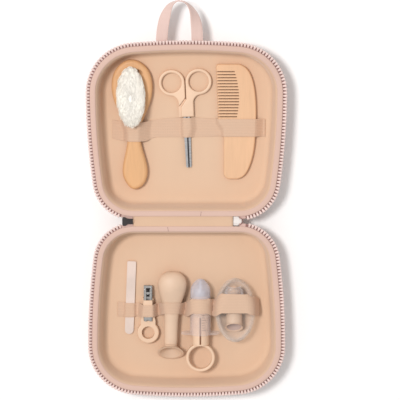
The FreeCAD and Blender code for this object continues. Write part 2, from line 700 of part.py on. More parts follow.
def zip_teeth(half, phase):
    """The row of moulded teeth: one strip whose outer edge is a row of tapered teeth.

    It starts past the closed end of the zip and stops short of the slider, which sits at the left.
    """
    inner = -(d.tape_reach + d.fit_gap).value
    root = inner - d.tooth_root.value
    tip = inner - d.tooth_reach.value
    pitch = d.tooth_pitch.value
    loop_end = (d.hinge_gap / 2).value
    slider_end = (d.slider_length - slider_x - hinge_corner_x + 2 * d.fit_gap).value
    near, far = (loop_end, slider_end) if half == "lid" else (slider_end, loop_end)
    count = int((rim_length() - near - far) / pitch - phase / 2)
    start = near + phase * pitch / 2 if half == "lid" else near
    rise, fall = TOOTH_FLANK_SHARES
    outer = []
    for row in range(count):
        foot = start + row * pitch
        outer += [on_rim(foot, root), on_rim(foot + rise * pitch, tip), on_rim(foot + fall * pitch, tip)]
    end = start + count * pitch
    outer.append(on_rim(end, root))
    edges = list(Part.makePolygon(outer).Edges)
    begun = 0.0
    for _, radius, first, last in rim_arcs():
        done = begun + radius * (last - first)
        low, high = max(begun, start), min(done, end)
        points = [on_rim(place, inner) for place in (low, (low + high) / 2, high)]
        edges.append(Part.Arc(*points).toShape())
        begun = done
    edges.append(Part.LineSegment(on_rim(start, inner), on_rim(start, root)).toShape())
    edges.append(Part.LineSegment(on_rim(end, inner), on_rim(end, root)).toShape())
    face = Part.Face(Part.Wire(Part.__sortEdges__(edges)))
    row = doc.addObject("Part::Feature", f"{half}_zip_teeth")
    row.Shape = face.extrude(V(0, 0, d.tooth_height.value))
    in_half(row, half)
    bind(row, "Placement.Base.z", rim_top - d.tooth_drop - d.tooth_height)
    return keep(row, f"{half}_zip_teeth")


# Hinge, zip slider and carry handle

fabric_left = hinge_corner_x - d.fabric_left_room


def hinge_fabric():
    """The cloth hinge under both bindings, with a tongue that holds the zip slider."""
    body = new_body("hinge_fabric")
    outline = new_sketch(body, level=shell_top)
    reach = d.hinge_gap / 2 + d.fabric_lap
    tongue = d.tail_width / 2
    left, right = -fabric_left, hinge_corner_x - d.fabric_right_room
    draw_polygon(outline, (
        (left, -reach), (right, -reach), (right, reach), (left, reach),
        (left, tongue), (left - d.tail_length, tongue), (left - d.tail_length, -tongue), (left, -tongue)))
    pad(body, outline, d.tape_thickness)
    return keep(put(body, y=hinge_y), "hinge_fabric")


def zip_end_loop():
    """The closed end of the zip, which stands on edge between the two rims."""
    outer = d.hinge_gap / 2 - d.tape_reach - d.fit_gap
    inner = outer - d.tape_thickness
    ring = cut(cylinder("end_loop_outside", outer, d.end_loop_height),
               [cylinder("end_loop_inside", inner, d.end_loop_height)], "end_loop")
    wide = d.hinge_gap
    top = d.end_loop_height + d.cut_overrun
    away = box("end_loop_open_side", -wide, ZERO, -wide, wide, -d.cut_overrun, top)
    loop = cut(ring, [away], "zip_end_loop")
    low = shell_top + d.tape_thickness - d.end_loop_height
    return keep(put(loop, hinge_corner_x - d.end_loop_lap, hinge_y, low), "zip_end_loop")


def slider_outline(sketch):
    """The slider's plan: wide where the two rows enter, waisted to its closed end."""
    widths = {"wide": d.slider_wide / 2, "narrow": d.slider_narrow / 2}
    upper = [(-d.slider_length * along, widths[which] * part) for along, which, part in SLIDER_OUTLINE_SHARES]
    draw_polygon(sketch, tuple(upper + [(x, -y) for x, y in reversed(upper)]))


slider_x = d.slider_overlap - fabric_left - d.tail_length
channel_low = shell_top + d.tape_thickness / 2 - d.slider_channel / 2
pull_axis_z = channel_low - d.slider_plate - d.lug_drop / 2 + d.lug_bar / 2
pull_axis_x = slider_x - d.slider_length / 2


def zip_slider():
    """Two plates joined by a wedge, with a bridge underneath for the pull."""
    body = new_body("zip_slider")
    for low in (-d.slider_plate, d.slider_channel):
        plate = new_sketch(body, level=low)
        slider_outline(plate)
        if low is d.slider_channel:
            wedge = new_sketch(body)
            middle = d.slider_length * SLIDER_POST_SHARE
            half = d.slider_post / 2
            draw_polygon(wedge, ((-middle - half, -half), (-middle + half, -half),
                                 (-middle + half, half), (-middle - half, half)))
            pad(body, wedge, d.slider_channel)
        pad(body, plate, d.slider_plate)
    bridge = new_sketch(body, role="XZ_Plane")
    middle = -d.slider_length / 2
    out, low = d.lug_length / 2, -d.slider_plate - d.lug_drop
    leg, top = d.lug_bar, -d.slider_plate
    draw_polygon(bridge, (
        (middle - out, top), (middle - out, low), (middle + out, low), (middle + out, top),
        (middle + out - leg, top), (middle + out - leg, low + leg), (middle - out + leg, low + leg),
        (middle - out + leg, top)))
    pad(body, bridge, d.lug_width, both=True)
    return keep(put(body, slider_x, hinge_y, channel_low), "zip_slider")


def zip_pull():
    """A flat tab that hangs from the slider's bridge by a windowed eye."""
    body = new_body("zip_pull")
    bar = d.pull_thickness / 2
    outline = new_sketch(body, role="YZ_Plane")
    half = d.pull_width / 2
    end = half * PULL_END_SHARE
    draw_polygon(outline, (
        (-half, bar), (half, bar), (half, end - d.pull_length), (end, -d.pull_length),
        (-end, -d.pull_length), (-half, end - d.pull_length)))
    window_half = d.pull_window_width / 2
    window_low = -bar - d.pull_window_length
    draw_polygon(outline, (
        (-window_half, -bar), (window_half, -bar), (window_half, window_low), (-window_half, window_low)))
    pad(body, outline, d.pull_thickness, both=True)
    return keep(put(body, pull_axis_x, hinge_y, pull_axis_z), "zip_pull")


handle_z = rim_top - d.tooth_drop - d.tooth_height - d.handle_drop - d.handle_thickness / 2
handle_root_y = lid_edge_y + d.rim_depth + teeth_reach


def handle_tabs():
    """The two ends of the handle ribbon, sewn to the lid under its zip."""
    tabs = []
    half = d.handle_width / 2
    thick = d.handle_thickness / 2
    start = lid_edge_y + d.rim_depth - d.shell_inset
    for side, middle in (("left", d.handle_left_x), ("right", d.handle_right_x)):
        tabs.append(box(f"handle_tab_{side}", middle - half, middle + half, start, handle_root_y,
                        handle_z - thick, handle_z + thick))
    pair = doc.addObject("Part::Compound", "handle_tabs")
    pair.Links = tabs
    return keep(pair, "handle_tabs")


def carry_handle():
    """A ribbon loop: its legs lie flat and it rolls on edge towards the top of the loop."""
    span = (d.handle_right_x - d.handle_left_x).value
    rows = [(d.handle_left_x.value + across * span, along * d.handle_reach.value, roll)
            for across, along, roll in HANDLE_SHARES]
    half, thick = d.handle_width.value / 2, d.handle_thickness.value / 2
    sections = []
    for row, (x, y, roll) in enumerate(rows):
        before, after = rows[max(row - 1, 0)], rows[min(row + 1, len(rows) - 1)]
        run = V(after[0] - before[0], after[1] - before[1], 0)
        if row in (0, len(rows) - 1):
            run = V(0, 1 if row == 0 else -1, 0)
        run.normalize()
        side = V(run.y, -run.x, 0)
        angle = math.radians(roll * QUARTER_TURN)
        wide = side * math.cos(angle) + V(0, 0, 1) * math.sin(angle)
        face = run.cross(wide)
        centre = V(x, y, 0)
        signs = ((1, 1), (-1, 1), (-1, -1), (1, -1))
        corners = [centre + wide * (a * half) + face * (b * thick) for a, b in signs]
        sections.append(Part.makePolygon(corners + corners[:1]))
    loop = doc.addObject("Part::Feature", "carry_handle")
    loop.Shape = Part.makeLoft(sections, True, True)
    return keep(put(loop, y=handle_root_y + d.handle_gap, z=handle_z), "carry_handle")


# Elastic straps

def strap(label, half, middle, width, humps):
    """A strap sewn to the liner: it rises over each tool and comes back down to the liner between them.

    Each hump is its left foot, left shoulder, right shoulder, right foot and height above the liner.
    Between tools that lie too close for it to come down, it runs straight from one to the next.
    """
    left, right = humps[0][0], humps[-1][3]
    tab = d.strap_tab.value
    points = [V(left - tab, 0, 0)]
    for foot, shoulder, other_shoulder, other_foot, height in humps:
        if foot > points[-1].x:
            points.append(V(foot, 0, 0))
        else:
            points.pop()
        points += [V(shoulder, 0, height), V(other_shoulder, 0, height), V(other_foot, 0, 0)]
    points.append(V(right + tab, 0, 0))
    path = Part.makePolygon(points)
    face = path.makeOffset2D(d.strap_thickness.value, 2, True, True)
    if face.BoundBox.ZMin < -d.fit_gap.value:
        face = path.makeOffset2D(-d.strap_thickness.value, 2, True, True)
    band = doc.addObject("Part::Feature", label)
    band.Shape = face.extrude(V(0, width.value, 0))
    edge = lid_edge_y + middle if half == "lid" else base_edge_y - middle
    return keep(put(band, y=edge - width / 2, z=floor_top), label)


def brush_half_widths():
    """Half widths of the brush along its length, each with its share of the length."""
    widths = {"head": d.brush_head_width, "handle": d.brush_handle_width, "neck": d.brush_neck_width}
    return [(along, widths[which].value * part / 2) for along, which, part in BRUSH_OUTLINE_SHARES]


def brush_half_width(share):
    """Half width of the brush at a share of its length."""
    rows = brush_half_widths()
    for (low, first), (high, second) in zip(rows, rows[1:]):
        if low <= share <= high:
            return first + (second - first) * (share - low) / (high - low)
    return rows[-1][1]


def lid_strap():
    gap, run = d.seat_gap.value, d.strap_slope.value
    upper_edge = lid_strap_y + d.lid_strap_width / 2 - d.brush_foot_room
    brush_half = brush_half_width((upper_edge / brush_length).value) + gap + gap
    turn = math.tan(math.radians(d.brush_turn.value))
    brush_middle = d.brush_x.value - (lid_strap_y - d.brush_foot_room).value * turn
    brush_top = (d.brush_thickness + 2 * d.seat_gap).value
    scissors_half = (d.shank_half + d.seat_gap).value
    scissors_middle = d.scissors_x.value
    scissors_top = (scissors_height + 2 * d.seat_gap).value
    comb_left, comb_right = (d.comb_x - d.seat_gap).value, (d.comb_x + d.comb_width + d.seat_gap).value
    comb_top = (d.comb_thickness + 2 * d.seat_gap).value
    humps = [
        (brush_middle - brush_half - run, brush_middle - brush_half, brush_middle + brush_half,
         brush_middle + brush_half + 2 * run, brush_top),
        (scissors_middle - scissors_half - 2 * run, scissors_middle - scissors_half,
         scissors_middle + scissors_half, scissors_middle + scissors_half + 2 * run, scissors_top),
        (comb_left - run / 2, comb_left, comb_right, comb_right + run, comb_top),
    ]
    return strap("lid_strap", "lid", lid_strap_y, d.lid_strap_width, humps)


# Hair brush

def brush_body():
    """A turned wooden paddle: broad head, slim neck and swelling handle."""
    body = new_body("brush_body")
    outline = new_sketch(body)
    right = [V(half, along * brush_length.value, 0) for along, half in brush_half_widths()]
    left = [V(-point.x, point.y, 0) for point in reversed(right)]
    curve = Part.BSplineCurve()
    curve.interpolate(Points=[V()] + right + [V(0, brush_length.value, 0)] + left, PeriodicFlag=True)
    outline.addGeometry(curve, False)
    block = pad(body, outline, d.brush_thickness)
    round_edges(body, block, d.brush_edge_radius, level_at_any(ZERO, d.brush_thickness))
    return keep(put(body, d.brush_x, lid_edge_y + d.brush_foot_room, seat, d.brush_turn), "brush_body")


def polygon_ring(centre, radius, sides):
    points = [centre + V(math.cos(step), math.sin(step), 0) * radius
              for step in (2 * math.pi * side / sides for side in range(sides))]
    return Part.makePolygon(points + points[:1])


def brush_bristles():
    """Rows of tufts that splay outwards from an oval field on the head."""
    half_x, half_y = d.tuft_field_width.value / 2, tuft_field_length.value / 2
    pitch = d.tuft_pitch.value
    rows = int(half_y / (pitch * math.sin(math.pi / 3)))
    tufts = []
    for row in range(-rows, rows + 1):
        y = row * pitch * math.sin(math.pi / 3)
        shift = pitch / 2 if row % 2 else 0.0
        columns = int(half_x / pitch) + 1
        for column in range(-columns, columns + 1):
            x = column * pitch + shift
            if (x / half_x) ** 2 + (y / half_y) ** 2 > 1:
                continue
            foot = V(x, y, 0)
            tip = V(x * (1 + TUFT_SPLAY_SHARE), y * (1 + TUFT_SPLAY_SHARE), d.tuft_height.value)
            rings = [polygon_ring(foot, d.tuft_foot_radius.value, TUFT_SIDES),
                     polygon_ring(tip, d.tuft_tip_radius.value, TUFT_SIDES)]
            tufts.append(Part.makeLoft(rings, True, True))
    field = doc.addObject("Part::Feature", "brush_bristles")
    shape = Part.makeCompound(tufts)
    shape.translate(V(0, tuft_field_y.value, 0))
    field.Shape = Part.makeCompound([shape])
    put(field, d.brush_x, lid_edge_y + d.brush_foot_room, seat + d.brush_thickness, d.brush_turn)
    return keep(field, "brush_bristles")


# Scissors: the left half lies under the right one

layer_split = d.handle_layer + d.layer_gap
scissors_height = layer_split + d.handle_top + d.rivet_head


def scissors_place(thing):
    return put(thing, d.scissors_x, lid_edge_y + scissors_y, seat, d.scissors_turn)


def scissor_blade(side, sign, low):
    """A blunt steel blade, waisted below the pivot, with a tang that runs into the plastic shank."""
    body = new_body(f"scissor_blade_{side}")
    outline = new_sketch(body, level=low)
    half, tang, tip = d.blade_half, d.tang_half, d.blade_tip_radius
    neck, neck_shift = d.blade_neck_half, d.blade_neck_shift
    tang_top, tang_foot = d.shank_end + d.tang_length, d.shank_end - d.fit_gap
    end = tip - d.blade_length
    corners = (
        (tang, tang_top), (-tang, tang_top), (-tang, tang_foot), (-half, half), (-half, -d.blade_shoulder),
        (neck_shift - neck, -d.blade_neck), (d.blade_tip_shift - tip, end), (d.blade_tip_shift + tip, end),
        (neck_shift + neck, -d.blade_neck), (half, -d.blade_shoulder), (half, half), (tang, tang_foot))
    draw_polygon(outline, tuple((x * sign, y) for x, y in corners))
    pad(body, outline, d.blade_thickness)
    tip_sketch = new_sketch(body, level=low)
    draw_circle(tip_sketch, d.blade_tip_shift * sign, end, tip)
    pad(body, tip_sketch, d.blade_thickness)
    hole = new_sketch(body, level=low + d.blade_thickness)
    draw_circle(hole, ZERO, ZERO, d.rivet_radius + d.rivet_play)
    pocket(body, hole, d.blade_thickness)
    return body


def scissor_handle(side, sign, low, high, lap_low, lap_high):
    """A finger ring on a shank; the shanks lap over each other just above the pivot."""
    body = new_body(f"scissor_handle_{side}_raw")
    ring_x = d.ring_spread * sign
    outer, lap = d.shank_half * sign, -d.shank_lap * sign
    split = (d.ring_spread - d.ring_outer_radius) * sign
    ring = new_sketch(body, level=low)
    draw_circle(ring, ring_x, d.ring_reach, d.ring_outer_radius)
    pad(body, ring, high - low)
    shank = new_sketch(body, level=lap_low)
    draw_polygon(shank, (
        (outer, d.shank_end), (lap, d.shank_end), (lap, d.lap_top), (split, d.split_foot),
        (split, d.ring_reach), (outer, d.ring_reach)))
    solid = pad(body, shank, lap_high - lap_low)
    if lap_high is not high:
        web = new_sketch(body, level=lap_high)
        draw_polygon(web, (
            (outer, d.web_foot), (split, d.web_split_foot), (split, d.ring_reach), (outer, d.ring_reach)))
        solid = pad(body, web, high - lap_high)
    near = d.fit_gap.value

    def hollow(edge):
        box_of = edge.BoundBox
        upright = box_of.ZLength > box_of.XLength + box_of.YLength
        return upright and abs(box_of.Center.x - outer.value) < near and box_of.YMin > d.web_foot.value + near

    solid = round_edges(body, solid, d.flank_radius, hollow)
    hole = new_sketch(body, level=high)
    draw_circle(hole, ring_x, d.ring_reach, d.ring_hole_radius)
    solid = pocket(body, hole, high - low)

    def outline_edge(edge):
        leaning = abs(edge.BoundBox.YMax - d.web_split_foot.value) < near
        return level_at_any(low, high)(edge) and not leaning

    round_edges(body, solid, d.ring_edge_radius, outline_edge)
    return body


def scissors():
    low = ZERO
    high = layer_split + d.handle_top
    left_blade_low = d.handle_layer - d.blade_thickness
    blades_top = layer_split + d.blade_thickness
    blades = {
        "left": scissor_blade("left", 1, left_blade_low),
        "right": scissor_blade("right", -1, layer_split),
    }
    handles = {
        "left": scissor_handle("left", -1, low, high, low, d.handle_layer),
        "right": scissor_handle("right", 1, low, high, layer_split, high),
    }
    for side in ("left", "right"):
        keep(scissors_place(blades[side]), f"scissor_blade_{side}")
    for side, tang_low in (("left", left_blade_low), ("right", layer_split)):
        wide = d.tang_half + d.fit_gap
        slot = box(f"tang_slot_{side}", -wide, wide, d.shank_end - d.cut_overrun,
                   d.shank_end + d.tang_length + d.fit_gap, tang_low, tang_low + d.blade_thickness)
        handle = cut(handles[side], [slot], f"scissor_handle_{side}")
        keep(scissors_place(handle), f"scissor_handle_{side}")
    rivet = new_body("scissor_rivet")
    for radius, start, end in (
            (d.rivet_head_radius, left_blade_low - d.rivet_head, left_blade_low),
            (d.rivet_radius, left_blade_low, blades_top),
            (d.rivet_head_radius, blades_top, blades_top + d.rivet_head)):
        disc = new_sketch(rivet, level=start)
        draw_circle(disc, ZERO, ZERO, radius)
        pad(rivet, disc, end - start)
    keep(scissors_place(rivet), "scissor_rivet")


# Comb

def comb():
    """A half-moon wooden comb: bowed back, toothed upper half, plain handle below."""
    body = new_body("comb")
    outline = new_sketch(body)
    width, length = d.comb_width, comb_length
    count = int(d.slot_count.value)
    first_slot = length - d.slot_room - d.slot_pitch * (count - 1)
    step_y = first_slot - 2 * d.slot_pitch
    corner = d.comb_corner_radius
    back = [V(across * width.value, along * length.value, 0) for across, along in COMB_BACK_SHARES]
    top, foot = back[0], back[-1]
    corners = [
        V(foot.x, foot.y, 0), V(d.comb_step.value + 2 * corner.value, 0, 0),
        V(d.comb_step.value, 2 * corner.value, 0), V(d.comb_step.value, (step_y - d.comb_step).value, 0),
        V(d.comb_lean.value, step_y.value, 0), V(0, (length - corner).value, 0),
        V(corner.value, length.value, 0), top]
    for start, end in zip(corners, corners[1:]):
        if end == corners[2] or end == corners[6]:
            middle = V(min(start.x, end.x), start.y if end == corners[2] else end.y, 0)
            bulge = (start + end) * 0.5 + (middle - (start + end) * 0.5) * (math.sqrt(2) - 1)
            outline.addGeometry(Part.Arc(start, bulge, end), False)
        else:
            outline.addGeometry(Part.LineSegment(start, end), False)
    curve = Part.BSplineCurve()
    curve.interpolate(Points=back)
    outline.addGeometry(curve, False)
    block = pad(body, outline, d.comb_thickness)
    round_edges(body, block, d.comb_edge_radius, level_at_any(ZERO, d.comb_thickness))
    slots = new_sketch(body, level=d.comb_thickness)
    for row in range(count):
        away = (row / (count - 1) - SLOT_MIDDLE_SHARE) / (1 - SLOT_MIDDLE_SHARE)
        depth = d.slot_depth - d.slot_bow * (away * away)
        low = first_slot + d.slot_pitch * row - d.slot_width / 2
        draw_polygon(slots, ((-d.cut_overrun, low), (depth, low), (depth, low + d.slot_width),
                             (-d.cut_overrun, low + d.slot_width)))
    pocket(body, slots)
    return keep(put(body, d.comb_x, lid_edge_y + d.comb_foot_room, seat), "comb")


# Nail file

def file_outline(sketch):
    """Square with small corners at the top, round at the lower end."""
    half, length = d.file_width / 2, d.file_length
    first = sketch.addGeometry(Part.LineSegment(flat(half, half), flat(half, length)), False)
    sketch.addGeometry(Part.LineSegment(flat(half, length), flat(-half, length)), False)
    sketch.addGeometry(Part.LineSegment(flat(-half, length), flat(-half, half)), False)
    circle = Part.Circle(flat(ZERO, half), V(0, 0, 1), half.value)
    sketch.addGeometry(Part.ArcOfCircle(circle, math.pi, 2 * math.pi), False)
    for row in range(4):
        sketch.addConstraint(Sketcher.Constraint("Coincident", first + row, 2, first + (row + 1) % 4, 1))
    hold(sketch, first, 1, half, half)
    hold(sketch, first + 1, 1, half, length)
    hold(sketch, first + 2, 1, -half, length)
    hold(sketch, first + 3, 1, -half, half)
    centre = sketch.addConstraint(Sketcher.Constraint("DistanceY", -1, 1, first + 3, 3, half.value))
    bind(sketch, f"Constraints[{centre}]", half)


def nail_file():
    layers = (("file_grit_back", ZERO, d.file_grit), ("file_board", d.file_grit, d.file_board),
              ("file_grit_front", d.file_grit + d.file_board, d.file_grit))
    for label, low, thick in layers:
        body = new_body(label)
        outline = new_sketch(body, level=low)
        file_outline(outline)
        plate = pad(body, outline, thick)
        top = d.file_length.value

        def upright_corner(edge):
            box_of = edge.BoundBox
            return box_of.YMin > top - d.fit_gap.value and box_of.ZLength > box_of.XLength

        round_edges(body, plate, d.file_corner_radius, upright_corner)
        keep(put(body, d.file_x, base_edge_y - file_y, seat, d.file_turn), label)


# Nail clipper

lower_jaw_z = d.clipper_bed
upper_jaw_z = lower_jaw_z + d.jaw_thickness + d.jaw_spacing
jaw_top = upper_jaw_z + d.jaw_thickness
lever_z = jaw_top + d.lever_lift
pin_z = lever_z + d.lever_thickness / 2
clipper_height = lever_z + d.lever_thickness + d.grip_thickness


def clipper_place(thing):
    return put(thing, d.clipper_x, base_edge_y - clipper_y, seat)


def clipper_body():
    """The plastic body: a finger ring and a channel that holds the jaws."""
    body = new_body("clipper_body")
    outline = new_sketch(body)
    back, front = d.clipper_body_back / 2, d.clipper_body_front / 2
    wide, slim = (d.jaw_hinge_y * share for share in CLIPPER_WAIST_SHARES)
    draw_polygon(outline, ((back, ZERO), (back, wide), (front, slim), (front, d.clipper_body_length),
                           (-front, d.clipper_body_length), (-front, slim), (-back, wide), (-back, ZERO)))
    pad(body, outline, d.clipper_body_height)
    ring = new_sketch(body)
    draw_circle(ring, ZERO, ZERO, d.clipper_ring_radius)
    solid = pad(body, ring, d.clipper_body_height)
    reach = d.clipper_ring_radius.value * CLIPPER_ROUND_SHARE

    def ring_edge(edge):
        return level_at_any(ZERO, d.clipper_body_height)(edge) and edge.BoundBox.YMin < -reach

    round_edges(body, solid, d.clipper_edge_radius, ring_edge)
    hole = new_sketch(body, level=d.clipper_body_height)
    draw_circle(hole, ZERO, ZERO, d.clipper_hole_radius)
    pocket(body, hole)
    channel = new_sketch(body, level=d.clipper_body_height)
    side = d.jaw_width / 2 + d.jaw_play
    start = d.jaw_back - d.jaw_play
    end = d.clipper_body_length + d.cut_overrun
    draw_polygon(channel, ((-side, start), (side, start), (side, end), (-side, end)))
    pocket(body, channel, d.clipper_body_height - d.clipper_bed)
    return keep(clipper_place(body), "clipper_body")


def clipper_jaw(label, low, edge_low, edge_high):
    """A flat steel jaw whose front is turned towards the other jaw, bored for the post and the rivet."""
    body = new_body(label)
    plate = new_sketch(body, level=low)
    half = d.jaw_width / 2
    draw_polygon(plate, ((-half, d.jaw_back), (half, d.jaw_back), (half, d.jaw_front), (-half, d.jaw_front)))
    pad(body, plate, d.jaw_thickness)
    edge = new_sketch(body, level=edge_low)
    draw_polygon(edge, ((-half, d.jaw_front - d.jaw_edge), (half, d.jaw_front - d.jaw_edge),
                        (half, d.jaw_front), (-half, d.jaw_front)))
    pad(body, edge, edge_high - edge_low)
    for middle, radius in (
            (d.post_y, d.post_radius + d.post_play),
            (d.jaw_hinge_y, d.jaw_rivet_radius + d.fit_gap)):
        hole = new_sketch(body, level=jaw_top + d.cut_overrun)
        draw_circle(hole, ZERO, middle, radius)
        pocket(body, hole)
    return keep(clipper_place(body), label)


def clipper_rear_rivet():
    """A rivet with a spacer collar that keeps the jaws apart at the back."""
    body = new_body("clipper_rear_rivet")
    top = jaw_top - d.fit_gap
    collar = d.jaw_rivet_radius * COLLAR_SHARE
    for radius, start, end in (
            (d.jaw_rivet_radius, lower_jaw_z, top),
            (collar, lower_jaw_z + d.jaw_thickness, upper_jaw_z - d.fit_gap)):
        disc = new_sketch(body, level=start)
        draw_circle(disc, ZERO, d.jaw_hinge_y, radius)
        pad(body, disc, end - start)
    return keep(clipper_place(body), "clipper_rear_rivet")


def clipper_post():
    """The post that ties the jaws together and carries the lever on a cross pin."""
    foot = cylinder("post_foot", d.post_head_radius, d.post_head, y=d.post_y, z=lower_jaw_z - d.post_head)
    reach = pin_z + d.post_radius - lower_jaw_z
    shaft = cylinder("post_shaft", d.post_radius, reach, y=d.post_y, z=lower_jaw_z)
    half = d.lever_width / 2
    pin = cylinder("post_pin", d.lever_pin_radius, half * 2, -half, d.post_y, pin_z, V(1, 0, 0))
    post = doc.addObject("Part::MultiFuse", "clipper_post")
    post.Shapes = [foot, shaft, pin]
    return keep(clipper_place(post), "clipper_post")


def clipper_lever():
    """The lever: a flat arm with a fork that straddles the post and presses on the upper jaw."""
    half = d.lever_width / 2
    top = lever_z + d.lever_thickness
    arm = box("lever_arm", -half, half, d.lever_back, d.lever_front, lever_z, top)
    nose = box("lever_nose", -half, half, d.lever_front - d.lever_fork, d.lever_front,
               jaw_top + d.lever_nose_gap, lever_z)
    whole = doc.addObject("Part::MultiFuse", "lever_whole")
    whole.Shapes = [arm, nose]
    gap = d.post_radius + d.post_play
    low, high = jaw_top - d.cut_overrun, top + d.cut_overrun
    root, front = d.lever_front - d.lever_fork, d.lever_front + d.cut_overrun
    mouth = box("lever_mouth", -gap, gap, root, front, low, high)
    eye = cylinder("lever_eye", d.lever_pin_radius + d.fit_gap, d.lever_width + 2 * d.cut_overrun,
                   -half - d.cut_overrun, d.post_y, pin_z, V(1, 0, 0))
    relief = cylinder("lever_relief", d.jaw_width * LEVER_RELIEF_SHARE, high - low, y=d.lever_back, z=low)
    lever = cut(whole, [mouth, eye, relief], "clipper_lever")
    return keep(clipper_place(lever), "clipper_lever")


def clipper_lever_grip():
    """The plastic pad on the lever's arm."""
    body = new_body("clipper_lever_grip")
    outline = new_sketch(body, level=lever_z + d.lever_thickness)
    half = d.grip_width / 2
    slim = half * GRIP_TAPER_SHARE
    end = d.grip_start + d.grip_length
    draw_polygon(outline, ((-half, d.grip_start), (half, d.grip_start), (slim, end), (-slim, end)))
    block = pad(body, outline, d.grip_thickness)
    round_edges(body, block, d.grip_thickness * GRIP_ROUND_SHARE, level_at(clipper_height))
    return keep(clipper_place(body), "clipper_lever_grip")


# Nasal aspirator: the bulb is turned round first, then flattened to an oval

def laid_down(label, shape):
    """Tip a piece of the aspirator until the cup touches down, and place it."""
    shape.rotate(V(0, d.bulb_middle.value, 0), V(1, 0, 0), d.aspirator_tip.value)
    shape.translate(V(0, 0, d.bulb_half_height.value))
    piece = doc.addObject("Part::Feature", label)
    piece.Shape = Part.makeCompound(shape.Solids)
    return keep(put(piece, d.aspirator_x, base_edge_y - aspirator_y, seat, d.aspirator_turn), label)


def bulb_profile(thinner):
    """Points along the aspirator's outline, or along its inside when it is made thinner by the wall."""
    swelling = d.bulb_half_width - d.stem_radius
    return [V((d.stem_radius + swelling * swell - thinner).value, (d.stem_start + soft_run * along).value, 0)
            for along, swell in ASPIRATOR_SHARES]


def draw_turned(body, points):
    """A sketch of a smooth half outline, closed along the axis."""
    sketch = new_sketch(body)
    curve = Part.BSplineCurve()
    curve.interpolate(Points=points)
    sketch.addGeometry(curve, False)
    first, last = points[0], points[-1]
    top, foot = V(0, last.y, 0), V(0, first.y, 0)
    for start, end in ((last, top), (top, foot), (foot, first)):
        sketch.addGeometry(Part.LineSegment(start, end), False)
    return sketch


def aspirator_bulb():
    """A soft pear-shaped bulb that runs into a stem, hollow right through the stem."""
    body = new_body("aspirator_round")
    outside = bulb_profile(ZERO)
    end = V((d.stem_radius * ASPIRATOR_END_SHARE).value, d.aspirator_length.value, 0)
    inside = bulb_profile(d.aspirator_wall)[:-1]
    inside[0] = inside[0] - V(0, d.cut_overrun.value, 0)
    for kind, points in (("Revolution", outside + [end]), ("Groove", inside)):
        sketch = draw_turned(body, points)
        turn = body.newObject(f"PartDesign::{kind}", f"aspirator_{kind.lower()}")
        turn.Profile = sketch
        turn.ReferenceAxis = (sketch, ["V_Axis"])
        doc.recompute()
    flatten = FreeCAD.Matrix()
    flatten.scale(1, 1, (d.bulb_half_height / d.bulb_half_width).value)
    return laid_down("aspirator_bulb", body.Shape.transformGeometry(flatten))


def cone(name, low, high, tall, y, z, lean):
    """A cone whose mouth leans back from upright."""
    bowl = doc.addObject("Part::Cone", name)
    for place, amount in (("Radius1", low), ("Radius2", high), ("Height", tall)):
        bind(bowl, place, amount)
    bowl.Placement = FreeCAD.Placement(V(0, y, z), FreeCAD.Rotation(V(1, 0, 0), lean))
    return bowl


def aspirator_cup():
    """A cup that opens forwards and up, on a short collar at the end of the stem."""
    neck = d.stem_start - d.fit_gap
    lean = QUARTER_TURN - d.cup_lean.value
    way = math.radians(d.cup_lean.value)
    deep, wall = d.cup_depth.value, d.cup_wall.value
    foot_y, foot_z = d.cup_reach.value + deep * math.cos(way), -deep * math.sin(way)
    bowl = cone("cup_bowl", d.cup_foot_radius, d.cup_radius, d.cup_depth, foot_y, foot_z, lean)
    rise_y, rise_z = foot_y - wall * math.cos(way), foot_z + wall * math.sin(way)
    mouth = d.cup_radius - d.cup_wall * CUP_LIP_SHARE
    hollow = cone("cup_hollow", d.cup_foot_radius - d.cup_wall, mouth, d.cup_depth, rise_y, rise_z, lean)
    collar = cylinder("cup_collar", d.stem_radius, d.cup_collar, y=neck, axis=V(0, -1, 0))
    bore = cylinder("cup_bore", d.stem_radius - d.aspirator_wall, d.cup_collar + 2 * d.cut_overrun,
                    y=neck + d.cut_overrun, axis=V(0, -1, 0))
    outside = doc.addObject("Part::MultiFuse", "cup_outside")
    outside.Shapes = [bowl, collar]
    cup = cut(outside, [hollow, bore], "aspirator_cup_round")
    doc.recompute()
    return laid_down("aspirator_cup", cup.Shape.copy())


# Medicine dispenser: its own y = 0 is the back of the flange, and it points to +Y

barrel_z = d.barrel_radius


def dispenser_place(thing):
    return put(thing, d.dispenser_x, base_edge_y - dispenser_y, seat)


def turned(body, profile):
    """Add a solid of revolution about the dispenser's axis: radius, then distance along the axis."""
    sketch = new_sketch(body, role="YZ_Plane")
    draw_polygon(sketch, tuple((along, barrel_z + radius) for radius, along in profile))
    axis = sketch.addGeometry(Part.LineSegment(flat(ZERO, barrel_z), flat(d.barrel_length, barrel_z)), True)
    hold(sketch, axis, 1, ZERO, barrel_z)
    hold(sketch, axis, 2, d.barrel_length, barrel_z)
    solid = body.newObject("PartDesign::Revolution", f"{body.Name}_turn")
    solid.Profile = sketch
    solid.ReferenceAxis = (sketch, ["Axis0"])
    doc.recompute()
    return body


